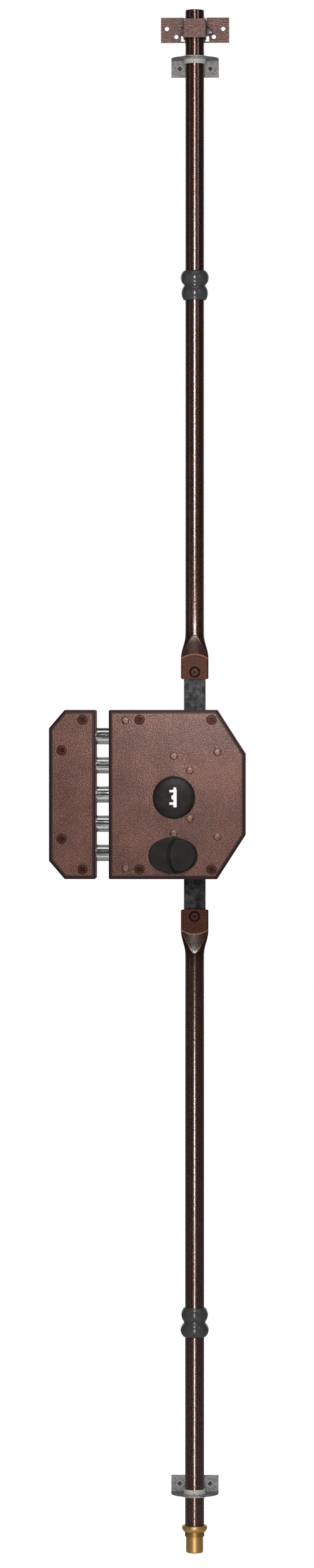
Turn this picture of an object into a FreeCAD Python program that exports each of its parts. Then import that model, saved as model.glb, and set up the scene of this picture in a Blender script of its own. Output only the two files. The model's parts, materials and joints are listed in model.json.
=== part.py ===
import FreeCAD, Part
import math
import os
import re
import Sketcher

# A lock that is screwed on the inside face of a door leaf. A key or an inner slide works five
# round bolts that shoot sideways into a strike box, and two long rods that shoot up and down.
# The door face is the plane Y = 0 and the lock stands in front of it, towards -Y. +X is right
# and +Z is up. The origin is the middle of the four fixing holes behind the case. Each "depth"
# below is a distance in front of the door face. At rest every bolt and rod is thrown.

SIZES = {
    # Sheet metal and clearances
    "sheet": 2.0,
    "fit": 0.05,
    "slack": 0.3,
    "play": 0.2,
    "past": 1.0,
    "small_chamfer": 0.4,
    "dome_out": 0.7,
    "dome_up": 0.75,
    # Case on the leaf: reach to the left and right of the origin, room beyond the outermost
    # bolts, cut corners
    "case_left": 64.0,
    "case_right": 66.8,
    "case_margin": 25.0,
    "case_cut_x": 27.0,
    "case_cut_z": 42.0,
    "bend_radius": 2.6,
    "corner_radius": 1.6,
    # Strike box on the frame, left of the case
    "strike_gap": 12.4,
    "strike_width": 44.9,
    "strike_cut_x": 15.0,
    "strike_cut_z": 17.5,
    # Round bolts
    "bolt_count": 5,
    "bolt_pitch": 28.0,
    "bolt_radius": 8.0,
    "bolt_set": 2.0,
    "bolt_chamfer": 1.2,
    "throw": 28.0,
    "bolt_inside": 18.0,
    "bolt_tail": 12.0,
    "bolt_hole_slack": 0.5,
    "rivet_radius": 2.5,
    "rivet_head_radius": 4.2,
    "rivet_head_rise": 1.1,
    "rivet_start": 0.6,
    # Corner pillars and the screws that hold the covers
    "pillar_x": 34.5,
    "pillar_inset": 9.5,
    "pillar_radius": 5.0,
    "pillar_neck": 4.5,
    "fixing_radius": 3.0,
    "fixing_length": 11.0,
    "fixing_point": 1.5,
    "screw_radius": 2.5,
    "screw_head_radius": 5.0,
    "screw_length": 11.0,
    "screw_spare": 1.0,
    "screw_rise": 0.5,
    "recess_reach": 2.6,
    "recess_width": 1.0,
    "recess_depth": 1.5,
    "strike_screw_near": 12.5,
    "strike_screw_far": 32.6,
    "strike_screw_inset": 9.4,
    "strike_screw_low": 42.4,
    # Posts riveted through the cover, whose heads show on its front
    "post_radius": 4.0,
    "post_neck": 2.0,
    "post_head_radius": 3.8,
    "post_head_rise": 0.9,
    "post_behind": 0.5,
    "corner_post_x": 48.0,
    "corner_post_inset": 10.0,
    "guide_post_x": 1.7,
    "guide_post_gap": 3.9,
    "lever_post_x": 13.7,
    "lever_post_z": 23.0,
    "pivot_x": 40.0,
    "pivot_z": 40.5,
    # Bolt carriage: the plate that carries the bolts and is pushed by the key
    "plate_thick": 3.0,
    "plate_margin": 6.0,
    "plate_arm_half": 46.0,
    "plate_arm_right": 8.0,
    "plate_tongue_half": 32.0,
    "plate_tongue_right": 33.0,
    "notch_pitch": 7.0,
    "notch_width": 3.4,
    "notch_rise": 3.0,
    "stump_x": 23.0,
    "stump_z": 14.6,
    "stump_radius": 2.0,
    # Rockers that turn the sideways throw into the throw of the rods
    "layer_gap": 1.0,
    "rocker_thick": 4.0,
    "rocker_hub": 8.0,
    "rocker_end": 5.0,
    "rocker_pin": 3.0,
    "rocker_play": 0.8,
    # Straps between the rockers and the rods
    "strap_width": 20.7,
    "strap_thick": 4.0,
    "strap_tail": 7.0,
    "strap_top": 127.0,
    # Rods
    "rod_x": 18.0,
    "rod_radius": 9.1,
    "rod_wall": 1.5,
    "rod_top": 750.4,
    "rod_bottom": 705.0,
    "rod_round_start": 153.0,
    "rod_swell_end": 129.0,
    "rod_swell_thick": 9.0,
    "swell_shoulder": 2.0,
    "swell_bulge": 5.1,
    "lug_width": 27.0,
    "lug_end": 110.5,
    "lug_thick": 4.0,
    "lug_corner": 1.5,
    "lug_root": 4.0,
    "press_half": 16.2,
    "press_below": 5.0,
    "crease_peak": 134.2,
    "crease_radius": 23.0,
    "joint_z": 117.2,
    "joint_radius": 3.0,
    "joint_head_radius": 5.3,
    "joint_head_deep": 1.8,
    "joint_point": 0.6,
    "nut_width": 10.0,
    "nut_thick": 4.0,
    "tip_long": 14.0,
    "tip_round": 1.0,
    "nose_radius": 7.0,
    "nose_long": 19.0,
    # Keyhole
    "key_x": 1.5,
    "key_z": 2.6,
    "key_slot_left": 0.6,
    "key_slot_right": 2.7,
    "key_slot_half": 9.6,
    "key_prong_left": 4.4,
    "key_prong_low": 4.7,
    "key_prong_high": 7.2,
    "key_bulge_left": 2.5,
    "key_bulge_half": 2.6,
    "key_clear_radius": 11.0,
    "key_clear": 0.6,
    "rose_radius": 20.3,
    "rose_rim": 1.4,
    "rose_rise": 4.6,
    "rose_shoulder_radius": 17.5,
    "rose_shoulder_rise": 1.8,
    "rose_crown_radius": 13.4,
    "rose_crown_rise": 2.8,
    "rose_flat": 9.0,
    "rose_spigot": 13.5,
    "guard_thick": 1.4,
    "guard_half_x": 17.0,
    "guard_half_z": 15.0,
    "guard_corner": 3.0,
    # Levers
    "lever_count": 4,
    "lever_gap": 0.5,
    "lever_thick": 1.8,
    "lever_pitch": 2.25,
    "lever_lift": 2.4,
    "lever_left": 16.4,
    "lever_right": 22.5,
    "lever_room": 0.5,
    "lever_edge": 1.0,
    "lever_window_step": 0.5,
    "spring_strip": 0.5,
    "spring_width": 1.2,
    "spring_block_x": 8.5,
    "spring_block_z": 47.0,
    "spring_block_width": 8.0,
    "spring_block_tall": 8.0,
    "spring_tip_x": 9.0,
    # Inner slide
    "slide_x": 2.3,
    "slide_inset": 22.8,
    "slide_half_x": 23.5,
    "slide_half_z": 17.4,
    "slide_end_radius": 14.3,
    "slide_base": 2.4,
    "slide_round": 1.2,
    "slide_travel": 5.0,
    "pad_left": 3.4,
    "pad_right": 21.0,
    "pad_half": 14.5,
    "pad_tip_x": 1.6,
    "pad_rise": 3.4,
    "pad_edge": 1.0,
    "groove_width": 3.0,
    "groove_deep": 1.3,
    "stem_half_x": 3.0,
    "stem_half_z": 5.0,
    "stem_x": 8.0,
    "catch_thick": 1.6,
    "catch_half_z": 8.0,
    "catch_left": 14.0,
    "catch_right": 6.0,
    "catch_screw_radius": 1.5,
    "catch_screw_long": 6.0,
    "catch_head_radius": 3.0,
    "catch_head_tall": 1.4,
    "peg_x": 13.0,
    "peg_z": 6.0,
    "peg_radius": 1.5,
    "root": 0.5,
    # Rod guides: bent brackets with a bush
    "guide_half": 22.75,
    "guide_upper_z": 705.5,
    "guide_lower_z": 674.0,
    "guide_tall": 17.8,
    "guide_straight": 4.0,
    "guide_bend": 1.4,
    "guide_hole_half": 14.6,
    "guide_hole_drop": 9.5,
    "guide_screw_radius": 2.0,
    "guide_head_radius": 4.35,
    "guide_screw_long": 12.0,
    "drive_half": 2.4,
    "drive_deep": 1.2,
    "bush_wall": 1.7,
    "bush_long": 6.5,
    "bush_lip": 1.0,
    "bush_lip_rise": 1.0,
    "bush_split": 1.2,
    # Two-bead guides halfway along the rods
    "bead_upper_z": 487.5,
    "bead_lower_z": 507.0,
    "bead_large_wall": 4.4,
    "bead_small_wall": 3.65,
    "bead_neck_wall": 1.3,
    "bead_tall": 13.4,
    "bead_groove": 1.4,
    "foot_half": 7.0,
    "foot_hole": 2.5,
    # Top strike: plate, ears and bridge round the rod
    "top_plate_z": 733.0,
    "top_plate_half": 32.75,
    "top_plate_tall": 24.0,
    "top_hole_radius": 2.05,
    "top_hole_wide": 27.0,
    "top_hole_narrow": 18.0,
    "top_hole_high": 1.3,
    "top_hole_low": 6.4,
    "bridge_wall": 1.5,
    "bridge_gap": 0.3,
    "bridge_tall": 18.2,
    "bridge_bend": 1.3,
    "bridge_low": -9.7,
    "ear_thick": 2.5,
    "ear_gap": 0.1,
    "window_under": 1.0,
    "ear_tall": 6.0,
    "ear_rise": 9.0,
    "window_tall": 5.2,
    "window_sill": 1.1,
    "set_depth": 7.5,
    "top_notch_tall": 2.8,
    "top_notch_wide": 1.7,
    "set_screw_radius": 1.5,
    "set_head_radius": 2.6,
    "set_head_long": 3.0,
    "set_slot_half": 0.4,
    "set_slot_deep": 1.0,
    # Floor socket
    "socket_top": 702.5,
    "socket_lip_radius": 12.0,
    "socket_lip_tall": 6.0,
    "socket_step_radius": 9.3,
    "socket_step_tall": 4.6,
    "socket_radius": 8.15,
    "socket_bottom": 729.0,
    "socket_floor": 1.6,
    "socket_slack": 0.3,
    "socket_cup_radius": 9.7,
    "socket_cup_deep": 3.6,
    "socket_round": 1.5,
    "socket_flare": 1.6,
    "socket_flare_tall": 2.7,
    "socket_edge": 0.8,
}

# Places that follow from the sizes above, written as expressions of them
PLACES = {
    "rocker_depth": "sheet + layer_gap",
    "strap_depth": "rocker_depth + rocker_thick + layer_gap",
    "strap_front": "strap_depth + strap_thick",
    "rod_depth": "strap_front + lug_thick / 2",
    "plate_depth": "strap_front + layer_gap",
    "plate_front": "plate_depth + plate_thick",
    "bolt_depth": "plate_depth + bolt_set",
    "lever_first": "plate_front + rivet_head_rise + lever_gap",
    "front_inside": "lever_first + lever_count * lever_pitch + guard_thick",
    "case_depth": "front_inside + sheet",
    "bolt_row_half": "(bolt_count - 1) / 2 * bolt_pitch",
    "case_half": "bolt_row_half + case_margin",
    "plate_half": "bolt_row_half + plate_margin",
    "pillar_z": "case_half - pillar_inset",
    "corner_post_z": "case_half - corner_post_inset",
    "strike_screw_high": "case_half - strike_screw_inset",
    "slide_z": "case_half - slide_inset",
    "guide_post_z": "slide_z - slide_half_z - guide_post_gap",
    "lever_top": "guide_post_z - post_radius - lever_lift - lever_room",
    "lever_foot": "lever_post_z + lever_lift + 2 * slack + post_radius + lever_edge",
    "strike_right": "case_left + strike_gap",
    "strike_left": "strike_right + strike_width",
    "bolt_shoulder": "case_left - bolt_inside",
    "bolt_tip": "case_left + throw",
    "rivet_x": "bolt_shoulder - bolt_tail / 2",
    "swing": "pivot_x - rod_x",
    "half_throw": "throw / 2",
    "pin_reach": "sqrt(swing ^ 2 - half_throw ^ 2)",
    "strap_end": "pivot_z + half_throw - strap_tail",
    "rod_bore": "rod_radius - rod_wall",
    "key_window": "key_slot_half + key_clear",
    "catch_back": "front_inside - play - catch_thick",
    "slide_front": "case_depth + slide_base",
    "slide_end_x": "slide_half_x - slide_end_radius",
    "slide_long_radius": "(slide_end_x ^ 2 + slide_half_z ^ 2 - slide_end_radius ^ 2)"
    " / (2 * (slide_half_z - slide_end_radius))",
    "oval_share": "slide_end_radius / (slide_long_radius - slide_end_radius)",
    "oval_x": "slide_end_x * (1 + oval_share)",
    "oval_z": "(slide_long_radius - slide_half_z) * oval_share",
    "pad_back": "slide_front + play",
    "pad_side": "pad_tip_x + pad_left",
    "pad_side_radius": "(pad_side ^ 2 + pad_half ^ 2) / (2 * pad_side)",
    "pad_nose": "pad_right - pad_tip_x",
    "pad_round_radius": "(pad_nose ^ 2 + pad_half ^ 2) / (2 * pad_nose)",
    "gate_top": "stump_z + stump_radius + slack",
    "gate_floor": "stump_z - stump_radius - slack - lever_lift",
    "gate_end": "throw - stump_x + stump_radius + slack",
    "spring_root_z": "spring_block_z + spring_block_tall / 2",
    "spring_run": "spring_block_x + spring_tip_x",
    "spring_fall": "spring_root_z - lever_top",
    "spring_bow": "(spring_run ^ 2 + spring_fall ^ 2) / (2 * spring_fall)",
    "bridge_inside": "rod_radius + bridge_gap",
    "bridge_outside": "bridge_inside + bridge_wall",
    "ear_foot": "window_tall + window_sill - top_plate_tall / 2",
    "ear_z": "ear_foot + ear_tall / 2",
    "bush_outside": "rod_radius + fit + bush_wall",
    "bead_large": "rod_radius + bead_large_wall",
    "bead_small": "rod_radius + bead_small_wall",
    "bead_neck": "rod_radius + bead_neck_wall",
}

doc = FreeCAD.newDocument("surface_multipoint_lock")
sheet = doc.addObject("Spreadsheet::Sheet", "Sizes")
for row, (alias, number) in enumerate(SIZES.items(), start=1):
    sheet.set(f"A{row}", alias.replace("_", " "))
    sheet.set(f"B{row}", str(number))
    sheet.setAlias(f"B{row}", alias)
doc.recompute()

nodes = []


def tie(text):
    """Turn plain size names into an expression on the sheet."""

    def swap(match):
        name = match.group(0)
        if name in PLACES:
            return "(" + tie(PLACES[name]) + ")"
        return "Sizes." + name if name in SIZES else name

    return re.sub(r"[a-z_][a-z_0-9]*", swap, str(text))


def value(text):
    """The number that an expression of sizes has now."""
    return float(sheet.evalExpression(tie(text)))


def node(thing, label):
    """Name a finished piece, which also names its file."""
    thing.Label = label
    nodes.append(thing)
    return thing


def piece(name, x="0", depth="0", z="0"):
    """An empty body whose own origin stands at a place in the lock."""
    body = doc.addObject("PartDesign::Body", name)
    body.setExpression("Placement.Base.x", tie(x))
    body.setExpression("Placement.Base.y", tie(f"-({depth})"))
    body.setExpression("Placement.Base.z", tie(z))
    return body


def origin_part(body, role):
    """One of a body's own origin planes or axes."""
    return next(part for part in body.Origin.OriginFeatures if part.Role == role)


def sketch_on(body, plane, offset="0"):
    """A sketch on an origin plane, moved along that plane's normal (-Y for XZ_Plane)."""
    sketch = body.newObject("Sketcher::SketchObject", f"{body.Name}_sketch")
    sketch.AttachmentSupport = [(origin_part(body, plane), "")]
    sketch.MapMode = "FlatFace"
    sketch.setExpression("AttachmentOffset.Base.z", tie(offset))
    return sketch


def hold(sketch, kind, refs, text):
    """Add a dimension that follows the sheet."""
    index = sketch.addConstraint(Sketcher.Constraint(kind, *refs, value(text)))
    sketch.setExpression(f"Constraints[{index}]", tie(text))


def pin_down(sketch, edge, end, x, y):
    """Fix one end, or the middle, of an edge at a place in the sketch."""
    hold(sketch, "DistanceX", (-1, 1, edge, end), x)
    hold(sketch, "DistanceY", (-1, 1, edge, end), y)


def circle(sketch, x, y, radius):
    """A circle about a point."""
    centre = FreeCAD.Vector(value(x), value(y), 0)
    edge = sketch.addGeometry(Part.Circle(centre, FreeCAD.Vector(0, 0, 1), value(radius)))
    pin_down(sketch, edge, 3, x, y)
    hold(sketch, "Radius", (edge,), radius)


def arc_between(start, end, radius, turn):
    """The arc from start to end, turning left or right, as the part of a circle it is."""
    first, last = (start, end) if turn == "left" else (end, start)
    chord = last - first
    rise = math.sqrt(max(radius**2 - chord.Length**2 / 4, 0))
    left = FreeCAD.Vector(-chord.y, chord.x, 0).normalize()
    centre = (first + last) / 2 + left * rise
    angles = [math.atan2(p.y - centre.y, p.x - centre.x) for p in (first, last)]
    if angles[1] < angles[0]:
        angles[1] += 2 * math.pi
    return Part.ArcOfCircle(Part.Circle(centre, FreeCAD.Vector(0, 0, 1), radius), *angles)


def outline(sketch, points):
    """A closed loop through points (x, y). An arc to the next point is (x, y, radius, turn)."""
    places = [FreeCAD.Vector(value(p[0]), value(p[1]), 0) for p in points]
    edges = []
    for index, point in enumerate(points):
        start, end = places[index], places[(index + 1) % len(points)]
        if len(point) == 2:
            edges.append((sketch.addGeometry(Part.LineSegment(start, end)), 1, 2))
        else:
            arc = sketch.addGeometry(arc_between(start, end, value(point[2]), point[3]))
            edges.append((arc, 1, 2) if point[3] == "left" else (arc, 2, 1))
    for index, point in enumerate(points):
        edge, first, last = edges[index]
        after, begins, _ = edges[(index + 1) % len(points)]
        sketch.addConstraint(Sketcher.Constraint("Coincident", edge, last, after, begins))
        pin_down(sketch, edge, first, point[0], point[1])
    for (edge, _, _), point in zip(edges, points):
        if len(point) == 4:
            hold(sketch, "Radius", (edge,), point[2])


def rectangle(sketch, left, bottom, right, top):
    """A box in the sketch, from its four limits."""
    outline(sketch, [(left, bottom), (right, bottom), (right, top), (left, top)])


def slot(sketch, start, end, radius):
    """A straight slot with round ends, about the line between two points."""
    first = FreeCAD.Vector(value(start[0]), value(start[1]), 0)
    last = FreeCAD.Vector(value(end[0]), value(end[1]), 0)
    size, up = value(radius), FreeCAD.Vector(0, 0, 1)
    along = (last - first).normalize()
    side = FreeCAD.Vector(-along.y, along.x, 0) * size
    angle = math.atan2(along.y, along.x)
    upper = sketch.addGeometry(Part.LineSegment(first + side, last + side))
    lower = sketch.addGeometry(Part.LineSegment(first - side, last - side))
    quarter = math.pi / 2
    far = Part.ArcOfCircle(Part.Circle(last, up, size), angle - quarter, angle + quarter)
    near = Part.ArcOfCircle(Part.Circle(first, up, size), angle + quarter, angle + 3 * quarter)
    far, near = sketch.addGeometry(far), sketch.addGeometry(near)
    for joint in ((upper, 2, far, 2), (lower, 2, far, 1), (upper, 1, near, 1), (lower, 1, near, 2)):
        sketch.addConstraint(Sketcher.Constraint("Tangent", *joint))
    sketch.addConstraint(Sketcher.Constraint("Equal", near, far))
    pin_down(sketch, near, 3, *start)
    pin_down(sketch, far, 3, *end)
    hold(sketch, "Radius", (near,), radius)


def add(body, sketch, length, away=True):
    """Raise a sketch into material along its normal, or against it."""
    feature = body.newObject("PartDesign::Pad", f"{body.Name}_pad")
    feature.Profile = sketch
    feature.setExpression("Length", tie(length))
    feature.Reversed = not away
    doc.recompute()
    return feature


def cut(body, sketch, length, away=True):
    """Cut a sketch into the material along its normal, or against it."""
    before = body.Shape.Volume
    feature = body.newObject("PartDesign::Pocket", f"{body.Name}_cut")
    feature.Profile = sketch
    feature.setExpression("Length", tie(length))
    feature.Reversed = away
    doc.recompute()
    if not body.Shape.Volume < before:
        raise ValueError(f"{feature.Name} takes nothing away")
    return feature


def turn_about(body, sketch, axis, kind="Revolution"):
    """Turn a sketch a whole turn about its own vertical or horizontal axis."""
    feature = body.newObject(f"PartDesign::{kind}", f"{body.Name}_{kind}")
    feature.Profile = sketch
    feature.ReferenceAxis = (sketch, [axis])
    feature.Angle = 360
    doc.recompute()
    return feature


def turned(body, profile):
    """A turned piece about its own Y axis, from points (radius, depth in front of its origin)."""
    sketch = sketch_on(body, "XY_Plane")
    outline(sketch, [(p[0], f"-({p[1]})", *p[2:]) for p in profile])
    return turn_about(body, sketch, "V_Axis")


def turned_upright(body, profile):
    """A turned piece about its own Z axis, from points (radius, height)."""
    sketch = sketch_on(body, "XZ_Plane")
    outline(sketch, profile)
    return turn_about(body, sketch, "V_Axis")


def round_edges(body, chosen, radius):
    """Round every edge of the body so far that a test picks."""
    base = body.Tip
    picked = [f"Edge{i}" for i, edge in enumerate(base.Shape.Edges, start=1) if chosen(edge)]
    feature = body.newObject("PartDesign::Fillet", f"{body.Name}_round")
    feature.Base = (base, picked)
    feature.setExpression("Radius", tie(radius))
    doc.recompute()
    return feature


def mirrored(body, feature, plane):
    """Repeat a feature on the other side of one of the body's planes."""
    twin = body.newObject("PartDesign::Mirrored", f"{body.Name}_mirror")
    twin.Originals = [feature]
    twin.MirrorPlane = (origin_part(body, plane), [""])
    body.Tip = twin
    doc.recompute()
    return twin


def group(label, placed):
    """Several like pieces as one node of separate solids: (body, x, z) for each."""
    links = []
    for body, x, z in placed:
        link = doc.addObject("App::Link", f"{label}_link")
        link.LinkedObject = body
        link.setExpression("Placement.Base.x", tie(x))
        link.setExpression("Placement.Base.z", tie(z))
        links.append(link)
    together = doc.addObject("Part::Compound", label)
    together.Links = links
    doc.recompute()
    return node(together, label)


def mirror_piece(source, label):
    """The lower twin of an upper piece."""
    twin = doc.addObject("Part::Mirroring", label)
    twin.Source = source
    twin.Normal = FreeCAD.Vector(0, 0, 1)
    doc.recompute()
    return node(twin, label)


def along(edge, axis):
    """Does a straight edge run along this axis (0, 1 or 2)?"""
    if not isinstance(edge.Curve, Part.Line):
        return False
    return abs(abs(edge.tangentAt(edge.FirstParameter)[axis]) - 1) < 1e-6


def lies_at(edge, axis, place):
    """Does all of an edge lie at one coordinate?"""
    box = edge.BoundBox
    low, high = ((box.XMin, box.XMax), (box.YMin, box.YMax), (box.ZMin, box.ZMax))[axis]
    return abs(low - place) < 1e-4 and abs(high - place) < 1e-4


def four_ways(x, z):
    """The same place in all four quarters."""
    return [(f"{a}({x})", f"{b}({z})") for a in ("", "-") for b in ("", "-")]


def case_outline(inset):
    """The case seen from the front, with its two right corners cut off, set in by a wall."""
    long = "sqrt(case_cut_x ^ 2 + case_cut_z ^ 2)"
    right = f"case_right - ({inset})"
    high = f"case_half - ({inset})"
    near = f"case_right - case_cut_x - ({inset}) * ({long} - case_cut_x) / case_cut_z"
    low = f"case_half - case_cut_z - ({inset}) * ({long} - case_cut_z) / case_cut_x"
    left = f"-(case_left - ({inset}))"
    return [
        (left, f"-({high})"),
        (near, f"-({high})"),
        (right, f"-({low})"),
        (right, low),
        (near, high),
        (left, high),
    ]


def strike_outline(inset):
    """The strike box seen from the front, with its two left corners cut off."""
    long = "sqrt(strike_cut_x ^ 2 + strike_cut_z ^ 2)"
    left = f"-(strike_left - ({inset}))"
    high = f"case_half - ({inset})"
    near = f"strike_cut_x - strike_left + ({inset}) * ({long} - strike_cut_x) / strike_cut_z"
    low = f"case_half - strike_cut_z - ({inset}) * ({long} - strike_cut_z) / strike_cut_x"
    right = f"-(strike_right + ({inset}))"
    return [
        (near, f"-({high})"),
        (right, f"-({high})"),
        (right, high),
        (near, high),
        (left, low),
        (left, f"-({low})"),
    ]


def bolt_heights():
    """The height of each round bolt, spread evenly about the middle."""
    return [f"{i} * bolt_pitch - bolt_row_half" for i in range(int(value("bolt_count")))]


def holes(body, places, radius, start, length):
    """Round holes through a wall that faces the front."""
    sketch = sketch_on(body, "XZ_Plane", start)
    for x, z in places:
        circle(sketch, x, z, radius)
    return cut(body, sketch, length)


def bolt_holes(body, start, length):
    """The row of holes in an upright side wall that the bolts pass through."""
    sketch = sketch_on(body, "YZ_Plane", start)
    for height in bolt_heights():
        circle(sketch, "-bolt_depth", height, "bolt_radius + bolt_hole_slack")
    return cut(body, sketch, length)


def box_shell(body, shape):
    """A pressed cover: a deep tray with rounded bends, open at the door."""
    sketch = sketch_on(body, "XZ_Plane")
    outline(sketch, shape("0"))
    add(body, sketch, "case_depth")
    depth = value("case_depth")
    round_edges(body, lambda edge: along(edge, 1), "corner_radius")
    round_edges(body, lambda edge: lies_at(edge, 1, -depth), "bend_radius")
    sketch = sketch_on(body, "XZ_Plane")
    outline(sketch, shape("sheet"))
    cut(body, sketch, "front_inside")


def screw_seats(body, places, level, radius, head, thick):
    """Countersunk holes through a wall, from its front face at one level."""
    sketch = sketch_on(body, "XZ_Plane", level)
    for x, z in places:
        circle(sketch, x, z, f"{radius} + fit")
    hole = body.newObject("PartDesign::Hole", f"{body.Name}_seats")
    hole.Profile = sketch
    doc.recompute()
    hole.DepthType = "Dimension"
    hole.setExpression("Depth", tie(f"{thick} + past"))
    hole.setExpression("Diameter", tie(f"2 * ({radius} + fit)"))
    hole.HoleCutType = "Countersink"
    hole.HoleCutCustomValues = True
    hole.setExpression("HoleCutDiameter", tie(f"2 * ({head} + fit)"))
    spread = f"2 * atan(({head} - {radius}) / {thick})"
    hole.setExpression("HoleCutCountersinkAngle", tie(spread))
    hole.DrillPoint = "Flat"
    doc.recompute()
    return hole


COVER_SEAT = ("case_depth", "screw_radius", "screw_head_radius", "sheet")
CASE_SCREWS = four_ways("pillar_x", "pillar_z")
STRIKE_SCREWS = [
    (f"-(strike_right + {x})", f"{sign}{z}")
    for x, z in (("strike_screw_near", "strike_screw_high"), ("strike_screw_far", "strike_screw_low"))
    for sign in ("", "-")
]
LONG_POSTS = (
    [("-corner_post_x", z) for z in ("corner_post_z", "-corner_post_z")]
    + [("-guide_post_x", z) for z in ("guide_post_z", "-guide_post_z")]
    + [("pivot_x", z) for z in ("pivot_z", "-pivot_z")]
)
SHORT_POSTS = [("lever_post_x", z) for z in ("lever_post_z", "-lever_post_z")]


def key_profile(sketch):
    """The keyhole of a double-bitted key: a tall slot, a bulge for the stem and two prongs."""
    side = [
        ("-key_slot_left", "key_slot_half"),
        ("-key_slot_left", "key_prong_high"),
        ("-key_prong_left", "key_prong_high"),
        ("-key_prong_left", "key_prong_low"),
        ("-key_slot_left", "key_prong_low"),
        ("-key_slot_left", "key_bulge_half"),
        ("-key_bulge_left", "key_bulge_half / 2"),
    ]
    points = [("key_slot_right", "key_slot_half")] + side
    points += [(x, f"-{z}") for x, z in reversed(side)]
    outline(sketch, points + [("key_slot_right", "-key_slot_half")])


# Case cover: one pressed and painted steel tray, with the strap openings in its top and bottom
# walls, the bolt holes in its left wall and the seats of screws, posts, keyhole and slide.
cover = piece("case_cover")
box_shell(cover, case_outline)
wall = sketch_on(cover, "XY_Plane", "case_half - sheet - past")
rectangle(
    wall,
    "rod_x - strap_width / 2 - slack",
    "-(strap_front + slack)",
    "rod_x + strap_width / 2 + slack",
    "-(strap_depth - slack)",
)
mirrored(cover, cut(cover, wall, "sheet + 2 * past"), "XY_Plane")
bolt_holes(cover, "-(case_left + past)", "sheet + 2 * past")
screw_seats(cover, CASE_SCREWS, *COVER_SEAT)
cover_wall = ("front_inside - past", "sheet + 2 * past")
holes(cover, LONG_POSTS + SHORT_POSTS, "post_neck + fit / 2", *cover_wall)
holes(cover, [("-key_x", "-key_z")], "rose_spigot + fit", *cover_wall)
window = sketch_on(cover, "XZ_Plane", "front_inside - past")
rectangle(
    window,
    "-slide_x + stem_x - stem_half_x - slide_travel - slack",
    "-slide_z - stem_half_z - slack",
    "-slide_x + stem_x + stem_half_x + slack",
    "-slide_z + stem_half_z + slack",
)
cut(cover, window, "sheet + 2 * past")
pegs = [("-slide_x - peg_x", f"-slide_z {side} peg_z") for side in "-+"]
holes(cover, pegs, "peg_radius + fit", *cover_wall)
node(cover, "case_cover")

# Back plate: flat steel against the door, folded up at the left into the wall that guides the
# bolts. The key reaches the mechanism through it from the other side of the door.
base = piece("case_back_plate")
flat = sketch_on(base, "XZ_Plane")
outline(flat, case_outline("sheet + play"))
add(base, flat, "sheet")
fold = sketch_on(base, "XZ_Plane")
rectangle(
    fold,
    "-(case_left - sheet - play)",
    "-(case_half - sheet - play)",
    "-(case_left - 2 * sheet - play)",
    "case_half - sheet - play",
)
add(base, fold, "front_inside - play")
guide_row = sketch_on(base, "YZ_Plane", "-case_left")
for height in bolt_heights():
    circle(guide_row, "-bolt_depth", height, "bolt_radius + fit")
cut(base, guide_row, "3 * sheet")
holes(base, CASE_SCREWS, "pillar_neck + fit / 2", "-past", "sheet + 2 * past")
holes(base, LONG_POSTS, "post_neck + fit / 2", "-past", "sheet + 2 * past")
holes(base, [("-key_x", "-key_z")], "key_clear_radius", "-past", "sheet + 2 * past")
node(base, "case_back_plate")

# Corner pillars: turned steel, riveted into the back plates. Each is threaded at the front for
# a cover screw and at the back for the bolt that comes through the door.
pillar = piece("pillar")
turned(
    pillar,
    [
        ("fixing_radius", "0"),
        ("pillar_neck", "0"),
        ("pillar_neck", "sheet"),
        ("pillar_radius", "sheet"),
        ("pillar_radius", "front_inside"),
        ("screw_radius + fit / 2", "front_inside"),
        ("screw_radius + fit / 2", "front_inside - screw_length"),
        ("0", "front_inside - screw_length"),
        ("0", "fixing_length + fixing_point"),
        ("fixing_radius", "fixing_length"),
    ],
)
group("case_pillars", [(pillar, *place) for place in CASE_SCREWS])
group("strike_pillars", [(pillar, *place) for place in STRIKE_SCREWS])

# Cover screws: oval countersunk heads with a cross recess, painted with the cover.
SCREW_POINT = "front_inside - screw_length + screw_spare"
screw = piece("cover_screw")
turned(
    screw,
    [
        ("0", "case_depth + screw_rise"),
        ("0", SCREW_POINT),
        ("screw_radius - small_chamfer", SCREW_POINT),
        ("screw_radius", f"{SCREW_POINT} + small_chamfer"),
        ("screw_radius", "front_inside"),
        ("screw_head_radius", "case_depth"),
        ("screw_head_radius * dome_out", "case_depth + screw_rise * dome_up"),
    ],
)
for across, up in (("recess_reach", "recess_width / 2"), ("recess_width / 2", "recess_reach")):
    cross = sketch_on(screw, "XZ_Plane", "case_depth + screw_rise - recess_depth")
    rectangle(cross, f"-({across})", f"-({up})", across, up)
    cut(screw, cross, "recess_depth + past")
group("case_screws", [(screw, *place) for place in CASE_SCREWS])
group("strike_screws", [(screw, *place) for place in STRIKE_SCREWS])

# Riveted posts: six run from cover to back plate, and the two that guide the levers stop just
# behind the carriage. Their domed heads are the bumps on the front of the case.
POST_FRONT = [
    ("0", "case_depth + post_head_rise"),
    ("0", "sheet"),
    ("post_radius", "sheet"),
    ("post_radius", "front_inside"),
    ("post_neck", "front_inside"),
    ("post_neck", "case_depth"),
    ("post_head_radius", "case_depth"),
    ("post_head_radius * dome_out", "case_depth + post_head_rise * dome_up"),
]
long_post = piece("long_post")
long_profile = list(POST_FRONT)
long_profile[1:2] = [("0", "0"), ("post_neck", "0"), ("post_neck", "sheet")]
turned(long_post, long_profile)
short_post = piece("short_post")
short_profile = list(POST_FRONT)
short_end = "plate_depth - post_behind"
short_profile[1:3] = [("0", short_end), ("post_radius", short_end)]
turned(short_post, short_profile)
placed = [(long_post, *place) for place in LONG_POSTS]
placed += [(short_post, *place) for place in SHORT_POSTS]
group("riveted_posts", placed)

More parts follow.
